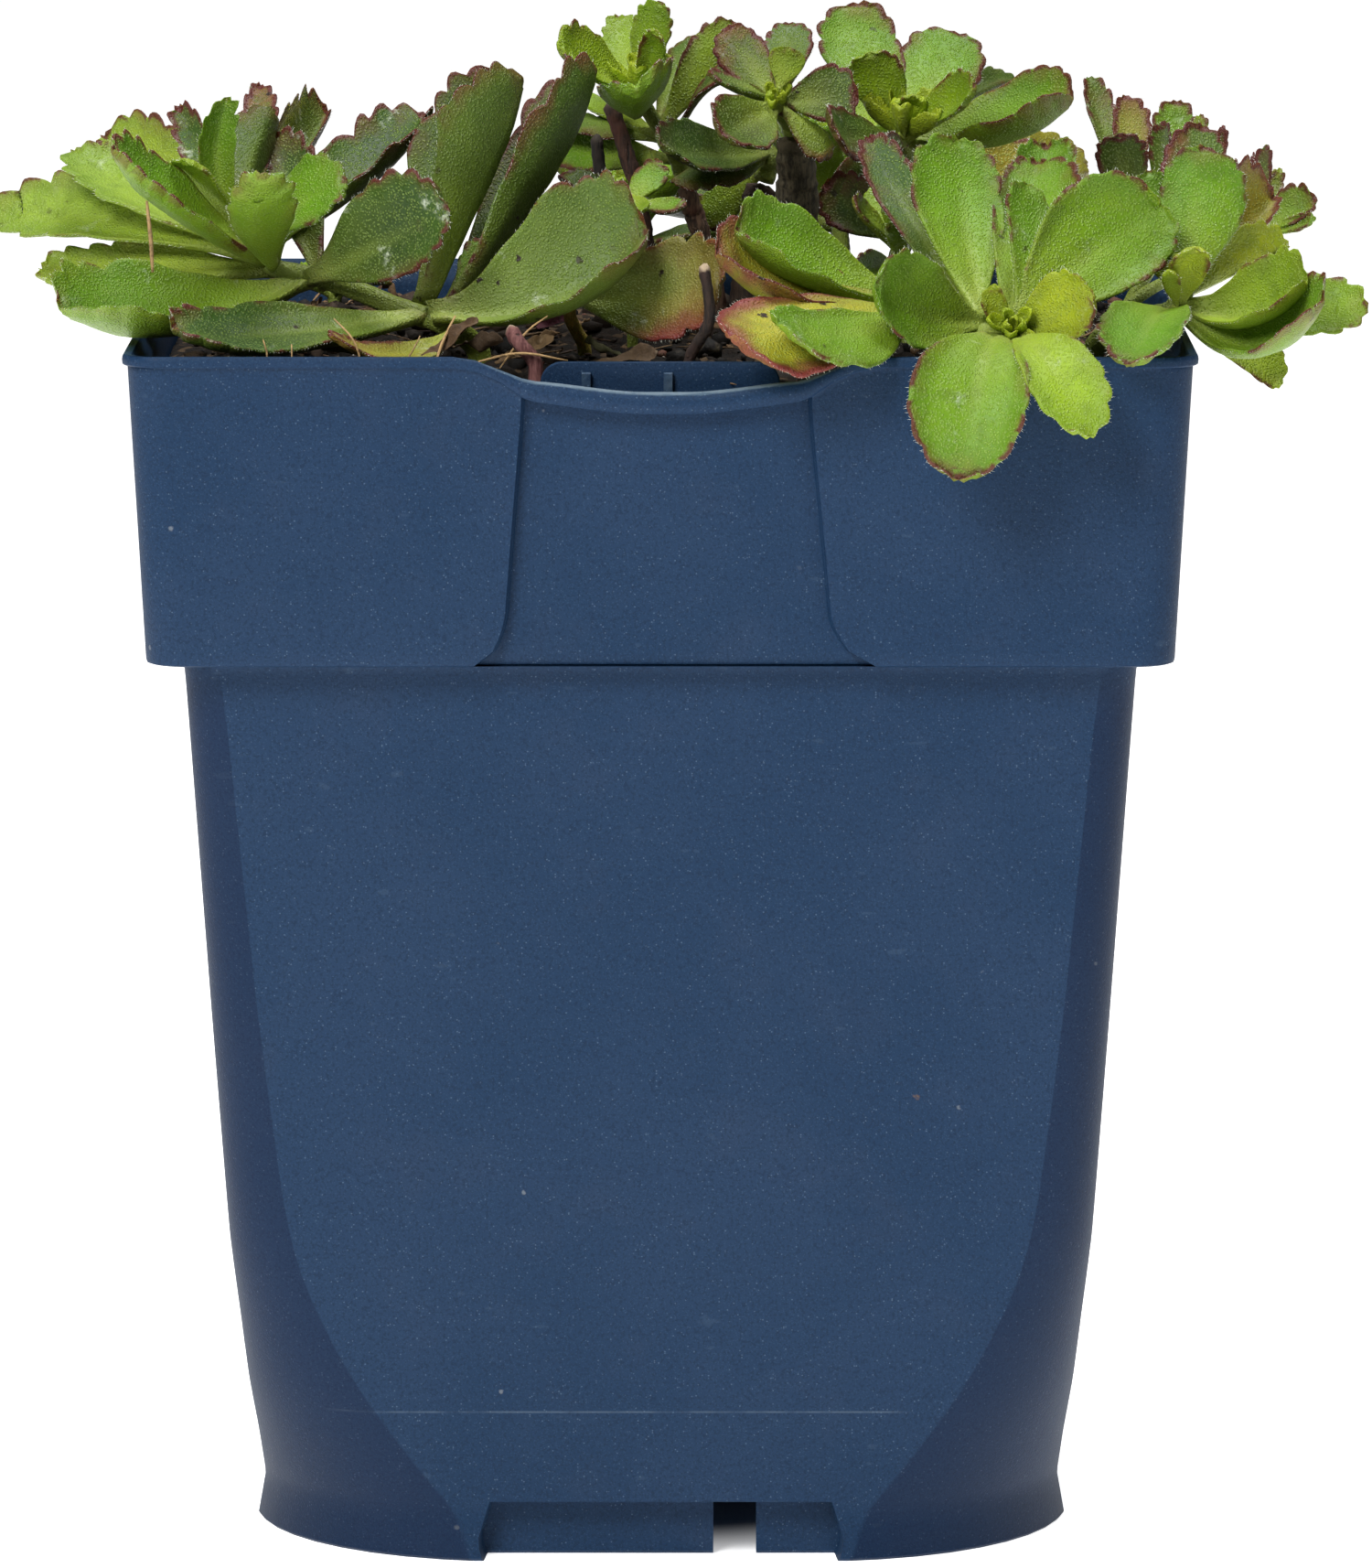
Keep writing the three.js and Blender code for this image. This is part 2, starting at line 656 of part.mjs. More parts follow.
    leaves: [
      [26, 6, 134.5, 10.5, 3.5, 3.5, 167, 33, 64, -2, 0, 0],
      [25.5, 0, 146, 11, 3, 3.5, -131, 62, 145, -20, 0, 0],
      [25.5, 2, 146.5, 19, 3.5, 6, 107, 39, 2, 0, 0, 0],
      [26, 2, 146.5, 17, 4.5, 5, 64, 33, -27, -3, 0, 0],
      [26, 3, 146, 24, 2.5, 1, 55, 14, 156, -46, 0, 0],
      [26, -1, 146, 13.5, 2, 3.5, -49, 26, -64, 25, 0, 0],
      [26, 1, 145.5, 20, 6, 6.5, -21, 12, -23, 44, -1.5, -0.5],
      [25.5, -2, 147, 6, 1, 1.5, -72, 44, -170, 3, 0, 0],
      [25.5, -1, 145.5, 19.5, 3.5, 3, -117, 8, 60, 2, 0, 0.5],
      [26, 0, 145, 14.5, 2, 1, -103, 3, 66, 44, 0, 0],
      [26, 3, 144, 31.5, 3.5, 3, 47, -5, 117, -22, 0, 0],
      [26, 5, 139, 18, 1.5, 4.5, 31, 9, -58, 8, 0, 0],
    ],
  },
  {
    name: "shoot_front_right",
    stems: [
      {
        radius: 1.3,
        foot: [31, -38],
        route: [
          [31.5, -41, 130],
          [34, -46, 129],
          [36, -49, 129.5],
          [36.5, -51, 130.5],
        ],
      },
      {
        radius: 1.1,
        route: [
          [31, -38, 122.5],
          [30.8, -38.2, 127],
          [28.5, -40, 130.5],
          [27, -41, 131],
          [25.5, -42, 132],
        ],
      },
    ],
    leaves: [
      [33, -43, 131, 23.5, 4.5, 6.5, 98, 43, -14, 15, -1, 0],
      [32, -41, 130.5, 28.5, 3, 3, 116, 35, 19, 26, 0, 0],
      [36, -48, 130, 17, 2, 4, 81, 54, -25, 16, 0.5, -2],
      [35.5, -47, 129.5, 37, 5, 4, 81, 25, -7, 40, 0, 0],
      [35.5, -48, 130, 31.5, 6, 4, 82, 27, -5, 30, 0, 0],
      [36, -48, 130, 22.5, 6, 7, 38, 30, -58, 10, 0, 1],
      [33, -44, 130.5, 16.5, 6, 5, -140, 16, 78, 29, -0.5, 1],
      [36, -49, 129.5, 11, 3.5, 4, -30, 27, -89, 13, 0, 0],
      [36, -49, 129, 6.5, 1, 2, -150, 71, 137, 33, 0, 0],
      [34.5, -49, 129.5, 20.5, 7, 6, -107, -44, 13, 20, 6, 0],
      [36, -50, 129, 18.5, 4, 4.5, -62, -30, -16, 14, 4.5, -0.5],
      [25.5, -41, 132.5, 21, 7, 5, -159, 20, 28, 44, -1.5, 1],
      [25.5, -42, 132, 22.5, 7.5, 5.5, -158, 12, 23, 35, -1.5, 1.5],
      [26, -45, 131.5, 26, 6, 6.5, -139, -4, 35, -15, 1.5, 0.5],
      [25.5, -46, 132, 22, 4, 5, -130, -1, 37, -3, 0, 2.5],
    ],
  },
  {
    name: "shoot_small_light",
    stems: [
      { radius: 0.7, foot: [26, -18], route: [[26, -19, 131], [25, -20, 134.5], [24.5, -20, 137]] },
    ],
    leaves: [
      [24.5, -20, 136.5, 8, 1.5, 1.5, -140, 38, 55, 14, 0, 0],
      [24.5, -19.5, 137, 6.5, 1, 1.5, 124, 49, 17, -26, 0, 0],
      [25, -20, 136.5, 5.5, 1, 1.5, -108, 68, 156, -12, 0, 0],
      [25, -20, 134.5, 8.5, 1.5, 2, -83, 44, -177, -1, 0, 0],
      [25, -20, 134, 17, 2.5, 2.5, -109, 1, 55, 43, 0, 0],
    ],
  },
  {
    name: "shoot_right",
    stems: [
      {
        radius: 1.3,
        foot: [45, -34],
        route: [
          [48, -35, 129.5],
          [53, -37, 131],
          [54, -37, 132.5],
          [54, -38, 133.5],
        ],
      },
    ],
    leaves: [
      [54, -37, 132.5, 16.5, 5.5, 4, 70, 64, -24, -10, 0, 0],
      [54, -36, 132.5, 21.5, 3.5, 4, 79, 49, -20, 3, 0, 0],
      [54, -36, 132, 24, 2, 8, 63, 19, -32, 50, 0, 0],
      [53.5, -36, 132, 14.5, 2.5, 3, 115, 63, 15, -10, 0, 0],
      [54, -38, 132, 10.5, 2, 2.5, -84, 41, 179, 14, 0, 0],
      [53.5, -38, 131.5, 9.5, 1, 1, -100, 31, 171, 16, 0, 0],
      [54, -38, 131.5, 14.5, 5, 6, -25, 11, -41, 51, -2, -1.5],
      [53.5, -38, 131, 17.5, 5, 6.5, -31, 4, -33, 35, -3.5, -2],
      [54, -36, 132, 16, 0, 4.5, 41, 16, -61, 19, 0, 0],
      [53, -38, 130.5, 23, 5, 5, -104, -11, 3, 25, 2.5, 0],
      [53.5, -37, 131, 13.5, 1.5, 3.5, 5, -35, -119, -29, 0, 0],
      [54, -36, 131.5, 19.5, 3, 4, -6, -2, -62, 4, 0, 0],
    ],
  },
  {
    name: "shoot_far_right",
    stems: [
      { radius: 0.7, foot: [48, -5], route: [[53, -4, 130.5], [59, -3, 132.5], [64, -2, 136]] },
    ],
    leaves: [
      [64, -2, 136.5, 9, 1, 1.5, 70, 76, -31, -26, 0, 0],
      [64, -1.5, 136.5, 8.5, 0.5, 0.5, 99, 65, 4, -2, 0, 0],
      [64, -2, 136, 7.5, 2, 3, -18, 30, -61, 28, 0, 0],
      [64.5, -2, 136, 7, 1.5, 1, -37, 15, -60, 28, 0, 0],
      [64, -2, 136.5, 8.5, 1, 1, 67, 42, -25, 12, 0, 0],
    ],
  },
  {
    name: "shoot_back_a",
    stems: [
      { radius: 0.8, foot: [46, 11], route: [[50.5, 12, 136], [50.5, 14, 139]] },
    ],
    leaves: [
      [50.5, 14, 138.5, 16, 2.5, 1.5, 113, 47, -1, 23, 0, 0],
      [50.5, 14, 138.5, 12, 3, 1.5, 91, 60, -2, 7, 0, 0],
      [50.5, 12, 137, 10, 3, 3, -106, 66, 169, -6, 0, 0],
    ],
  },
  {
    name: "shoot_back_b",
    stems: [
      { radius: 0.8, foot: [50, 6], route: [[55.5, 6, 136], [55.5, 7, 137.5]] },
    ],
    leaves: [
      [55, 6, 136, 12, 1.5, 2, -124, 78, 127, -45, 0, 0],
      [55.5, 7, 137, 14.5, 2.5, 3, 88, 51, -8, 6, 0, 0],
      [55.5, 7, 137, 12, 1.5, 1, 60, 61, -27, 12, 0, 0],
      [55.5, 7, 136.5, 11.5, 1.5, 0.5, 11, 62, -58, -16, 0, 0],
    ],
  },
];

// Woody stems, each a plain tube along its route
const WOODY_STEMS = [
  {
    name: "stem_top",
    radius: 1.1,
    foot: [6, 4],
    route: [
      [5, 4, 132.5],
      [3.5, 4, 137.5],
      [3.3, 3.8, 138],
      [2.7, 3.3, 140.7],
    ],
  },
  {
    name: "stem_dead_a",
    radius: 0.9,
    foot: [-1, 3],
    route: [
      [-2, 2.5, 137],
      [-3, 2.5, 141.5],
      [-4.5, 2.5, 146.5],
      [-5.5, 2.5, 149.5],
    ],
  },
  { name: "stem_dead_b", radius: 0.65, foot: [-6, 4], route: [[-6.5, 3, 140.5], [-7, 2.5, 146]] },
  {
    name: "stem_low_centre",
    radius: 1.7,
    foot: [9, 4],
    route: [
      [10, 4, 137.5],
      [10.9, 4.6, 140.5],
    ],
  },
  {
    name: "stem_centre",
    radius: 2.2,
    foot: [14, -2],
    route: [
      [14.5, -3, 138.5],
      [14.3, -4.8, 146.4],
    ],
  },
  { name: "twig_front", radius: 0.6, foot: [3, -42], route: [[5, -43, 130.5], [4.5, -44, 136.5]] },
  {
    name: "stem_cut",
    radius: 0.75,
    foot: [-12.9, -45.8],
    route: [
      [-14.5, -46, 128.5],
      [-15.5, -45, 130],
    ],
  },
];

// Hidden shoots at the back
const GOLDEN_ANGLE = 137.5;
const LEAN_ANGLE = 28;
const HALF_SHARE = 0.24;
const HIDDEN_SHOOTS = [
  {
    name: "shoot_back_middle",
    foot: [-4, 30],
    crown: [-3.8, 36.8, 133],
    radius: 1,
    count: 9,
    reach: 15,
    leanHeading: 90,
    lean: 1,
    youngest: 76,
    lowest: 6,
    spread: 2.5,
  },
  {
    name: "shoot_back_right",
    foot: [20, 30],
    crown: [19.6, 42.6, 135],
    radius: 1.1,
    count: 11,
    reach: 22.5,
    leanHeading: 90,
    lean: 1,
    youngest: 76,
    lowest: 2,
    spread: 2.5,
  },
  {
    name: "shoot_back_corner",
    foot: [38, 30],
    crown: [39, 32, 130.5],
    radius: 0.9,
    count: 7,
    reach: 12,
    leanHeading: 45,
    lean: 0.6,
    youngest: 76,
    lowest: 14,
    spread: 2.5,
  },
  {
    name: "shoot_back_left",
    foot: [-36, 27],
    crown: [-36, 27, 127.2],
    radius: 0.8,
    count: 6,
    reach: 8,
    leanHeading: 135,
    lean: 0.2,
    youngest: 30,
    lowest: 4,
    spread: 0.8,
  },
];

// A shoot that the photo hides: leaves turn by the golden angle round the crown, the young ones
// short and steep, the old ones long and low, and all lean the way the shoot does.
function whorl({ crown, count, reach, leanHeading, lean, youngest, lowest, spread }) {
  const rows = [];
  for (let i = 0; i < count; i += 1) {
    const age = i / (count - 1);
    const heading = Math.round(i * GOLDEN_ANGLE) % 360;
    const facing = Math.cos(THREE.MathUtils.degToRad(heading - leanHeading));
    const length = reach * (0.4 + 0.6 * Math.sqrt(age)) * (1 + 0.2 * facing * lean);
    const rise = youngest + (lowest - youngest) * age - LEAN_ANGLE * lean * facing * age;
    const half = length * HALF_SHARE;
    const [x, y, z] = crown;
    rows.push([x, y, z - age * spread, length, half, half, heading, rise, 0, 28, age * 1.2, 0]);
  }
  return rows;
}

// Plant

function shootSolid({ stems, leaves }) {
  const parts = stems.map(stem);
  return joined([...parts, ...leaves.map(blade)]);
}

function named(name, solid, [color, roughness]) {
  const material = new THREE.MeshStandardMaterial({ color, roughness, metalness: 0 });
  const mesh = new THREE.Mesh(geometryOf(solid), material);
  mesh.name = name;
  return mesh;
}

function hiddenShoot({ name, foot, crown, radius, ...rule }) {
  return { name, stems: [{ radius, foot, route: [crown] }], leaves: whorl({ crown, ...rule }) };
}

const group = new THREE.Group();
const shoots = [...SHOOTS, ...HIDDEN_SHOOTS.map(hiddenShoot)];
const rooted = [...shoots.flatMap(({ stems }) => stems), ...WOODY_STEMS];
const holes = rooted.filter(({ foot }) => foot).map(stemHole);

group.add(named("pot", pot(), MATERIALS.pot));
group.add(named("soil", soil(holes), MATERIALS.soil));
for (const shoot of shoots) {
  const finish = shoot.name === "shoot_red" ? MATERIALS.redLeaf : MATERIALS.leaf;
  group.add(named(shoot.name, shootSolid(shoot), finish));
}
for (const woody of WOODY_STEMS) {
  const finish = woody.name === "stem_centre" ? MATERIALS.paleStem : MATERIALS.brownStem;
  group.add(named(woody.name, stem(woody), finish));
}

export default group;
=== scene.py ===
"""A potted stonecrop in a square nursery pot, dressed for its portrait.

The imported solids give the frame. Each of them is replaced here by a finer piece of the same form:
leaves with rounded, toothed and hairy margins, bark, peat with its litter, and the moulded pot.
Sizes are millimetres until the mesh is made, and the origin is under the pot's middle.
"""

import math

import bpy
import numpy as np
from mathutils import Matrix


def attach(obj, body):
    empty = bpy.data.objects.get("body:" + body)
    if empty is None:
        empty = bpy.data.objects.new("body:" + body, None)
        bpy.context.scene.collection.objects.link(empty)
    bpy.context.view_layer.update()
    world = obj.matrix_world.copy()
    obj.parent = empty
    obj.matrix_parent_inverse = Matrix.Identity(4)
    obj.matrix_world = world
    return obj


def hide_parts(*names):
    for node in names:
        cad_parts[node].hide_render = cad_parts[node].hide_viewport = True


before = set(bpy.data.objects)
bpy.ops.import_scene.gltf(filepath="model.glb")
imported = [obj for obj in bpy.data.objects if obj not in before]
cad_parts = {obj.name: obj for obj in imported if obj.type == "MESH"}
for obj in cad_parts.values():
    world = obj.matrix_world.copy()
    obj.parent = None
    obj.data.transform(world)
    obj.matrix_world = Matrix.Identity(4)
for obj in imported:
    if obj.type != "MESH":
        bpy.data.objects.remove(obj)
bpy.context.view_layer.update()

MM = 0.001
FULL_TURN = 2 * math.pi

# The viewpoint of the portrait: a long lens a metre in front, looking a little down
CAMERA_PLACE = (2.63, -1069.2, 231.4)
CAMERA_TILT = 8.264
CAMERA_LENS = 229.65
CAMERA_SENSOR = 36

# Soft lamps: place in metres, size and power; they all face the same point of the object
LAMPS = {
    "lamp_left": ((-0.50, -0.95, 0.95), 0.5, 17.0),
    "lamp_top": ((0.1, 0.05, 1.1), 0.5, 10.0),
}
LAMP_AIM = (0, 0, 0.12)

# White room: axis, where its light is nothing and where it is whole, and how strong it is there
ROOM_LIGHT = ((2, 0.0, 1.0, 0.7), (1, 0.2, -1.0, 0.40))
ROOM_BASE = 0.07
ROOM_SEEN = 1.05
FLOOR_HALF = 3.0
FLOOR_COLOUR = (0.93, 0.93, 0.93)
FLOOR_GLOW = (0.95, 0.95, 0.95)

# Pot: height, half width and corner radius of its outer wall from foot to rim
POT_HEIGHT = 128.0
WALL = 1.2
LEDGE = 95.8
FLOOR_TOP = 7.7
UNDERSIDE = 6.5
OUTER_WALL = np.array([
    [0, 43.2, 25], [5, 42.3, 20.7], [10.5, 42.8, 17], [17, 43.6, 13], [25, 44.3, 9],
    [34, 45.2, 6.6], [56.7, 46.7, 5.2], [94.2, 49.1, 4], [95.75, 49.3, 4],
    [95.85, 52.9, 3.5], [107.7, 53.5, 3.5], [126.9, 54.5, 3.5], [128, 54.6, 3.6],
])
BAND_HEIGHT = 1.15
BAND_SWELL = 1.1
BAND_GROOVE = 0.12
DIP_CENTRE = 0.6
DIP_HALF = 21.5
DIP_DEPTH = 3.6
COLLAR_FOOT = LEDGE + 0.5
RECESS_LEFT = np.array([[95.6, -19.4], [97.7, -16.8], [100.7, -15.8], [122.6, -14.2], [126, -14.0]])
RECESS_RIGHT = np.array([[95.6, 22.5], [97.7, 18.9], [100.7, 17.4], [122.6, 15.5], [126, 15.3]])
RECESS_DEPTH = 1.5
PANEL_BACK = (21.5, 18.5)
NOTCH_HEIGHT = 6.1
NOTCH_HALF = 17.8
NOTCH_FLARE = 1.9
NOTCH_WALL = 39.3
DRAIN_HOLE_OFFSET = 24
DRAIN_HOLE_RADIUS = 4
DRAIN_SLOT = (5.5, 10)
POCKET_HALF = 12.3
POCKET_FLOOR = 106.8
POCKET_TOP = 126.9
POCKET_RIBS = (-7.6, 0.8)
# Height, half width and corner radius of the ledge; share of the height and half width of the
# rim's band; height, half width and wear of the rim
LEDGE_PROFILE = ((95.35, 49.25, 4.0), (95.68, 49.5, 4.0), (LEDGE, 50.4, 3.9), (LEDGE, 51.8, 3.7))
BAND_PROFILE = (
    (0.0, 54.55), (0.0, 54.85), (0.12, 55.0), (0.5, 55.04), (0.78, 55.0), (0.93, 54.92),
    (1.0, 54.72),
)
RIM_PROFILE = ((128.0, 54.5, 0.5), (127.94, 54.1, 0.1), (127.6, 53.85, 0.1), (126.9, 53.75, 0.1))

# Grid of the pot: columns outside, at and inside the two upright edges of a wall, and at a
# corner; the arc of a corner and the angle of a sharp edge are in degrees
WALL_COLUMNS = (16, 5, 26, 5, 16)
CORNER_COLUMNS = 10
CORNER_ARC = 74
EDGE_WIDTH = 0.2
EDGE_MARGIN = 1.2
SHARP_ANGLE = 38

# Soil: the peat is a low mound, a little higher towards the front
SOIL_EDGE = 122.8
SOIL_MOUND = 2.4
SOIL_TILT = 0.012
SOIL_HALF = 52.7
SOIL_CORNER = 2.6
SOIL_GRID = 190
# Its sides down to the floor: height, half width, corner radius
SOIL_SIDES = (
    (120, 50.6, 2.6), (106, 50.4, 2.6), (97.6, 49.8, 2.6), (97.3, 47.9, 2.8), (56.7, 45.2, 4.2),
    (34, 43.7, 5.6), (25, 42.8, 8), (17, 42.1, 12), (8, 41.0, 17.5),
)
# Levels of a stem's foot in its hole in the soil
FOOT_LEVELS = (112.0, 123.5, 126.5)

# Leaves
WIDEST = 0.72
WIDEST_STATION = 0.55
FOOT_WIDTH = 0.17
TOOTH_DEPTH = 0.15
TEETH_START = 0.45
TEETH_CENTRE = 0.62
RIB_SHARE = 0.55
HALF_THICKNESS = 0.62
ROOT_DEPTH = 0.8
GOLDEN_ANGLE = 137.5
STEM_GREEN = (0.19, 0.22, 0.05)
HAIR_STEP = 0.42
HAIR_RADIUS = 0.03

# Leaf colours by letter, in linear light, and how red and how old each is
TINTS = {
    "g": ((0.112, 0.236, 0.006), 0.55, 0.4),
    "p": ((0.215, 0.310, 0.026), 0.5, 0.25),
    "b": ((0.215, 0.330, 0.006), 0.35, 0.12),
    "y": ((0.330, 0.410, 0.005), 0.3, 0.05),
    "z": ((0.370, 0.440, 0.008), 0.0, 0.0),
    "c": ((0.090, 0.150, 0.024), 0.75, 0.7),
    "d": ((0.026, 0.060, 0.009), 0.95, 0.8),
    "r": ((0.066, 0.096, 0.010), 1.2, 0.8),
    "m": ((0.046, 0.060, 0.004), 1.45, 0.6),
    "o": ((0.255, 0.215, 0.016), 1.2, 1.0),
    "e": ((0.110, 0.160, 0.026), 1.2, 0.8),
    "s": ((0.360, 0.340, 0.022), 1.3, 1.0),
}
# How ripe a leaf is, by its letter: ripe ones are pink along the margin
RIPE = {"s": 1.0, "o": 0.12}

# Green stems of the shoots in view, as radius and points; a first point of two values is a foot in
# the soil
STEMS = {
    "shoot_left": [(1.2, [
        (-19, -33), (-22.5, -36, 129.5), (-27, -35, 131), (-31, -33, 132.5), (-36, -31, 134),
        (-40.5, -30, 135), (-43.5, -29, 138.5),
    ])],
    "shoot_red": [(0.8, [(-8, -30), (-9.5, -31, 130), (-9, -31, 132.5)])],
    "shoot_top": [(0.9, [
        (2.5, 3.2, 141.2), (1.5, 2, 144), (0.5, 0.5, 146), (-1.5, -1, 149), (-2.5, -1, 151),
    ])],
    "shoot_small_mid": [(0.6, [(-3, -20), (-2.5, -20, 134), (-3, -21, 139), (-3.5, -22, 141.5)])],
    "shoot_low_centre": [(1.1, [(11, 4.7, 141), (11.5, 5, 142.5), (11.5, 3, 144)])],
    "shoot_centre": [(1.2, [(14.2, -5.6, 147), (14, -6, 148), (13, -8, 149.5), (12.5, -9, 151.5)])],
    "shoot_upper_right": [(1.2, [
        (25, 8), (25, 7, 130.5), (26, 6, 134.5), (26, 4, 140.5), (26, 1, 145), (25.5, -1, 147),
    ])],
    "shoot_front_right": [
        (1.3, [(31, -38), (31.5, -41, 130), (34, -46, 129), (36, -49, 129.5), (36.5, -51, 130.5)]),
        (1.1, [
            (31, -38, 122.5), (30.8, -38.2, 127), (28.5, -40, 130.5), (27, -41, 131),
            (25.5, -42, 132),
        ]),
    ],
    "shoot_small_light": [(0.7, [(26, -18), (26, -19, 131), (25, -20, 134.5), (24.5, -20, 137)])],
    "shoot_right": [(1.3, [
        (45, -34), (48, -35, 129.5), (53, -37, 131), (54, -37, 132.5), (54, -38, 133.5),
    ])],
    "shoot_far_right": [(0.7, [(48, -5), (53, -4, 130.5), (59, -3, 132.5), (64, -2, 136)])],
    "shoot_back_a": [(0.8, [(46, 11), (50.5, 12, 136), (50.5, 14, 139)])],
    "shoot_back_b": [(0.8, [(50, 6), (55.5, 6, 136), (55.5, 7, 137.5)])],
}

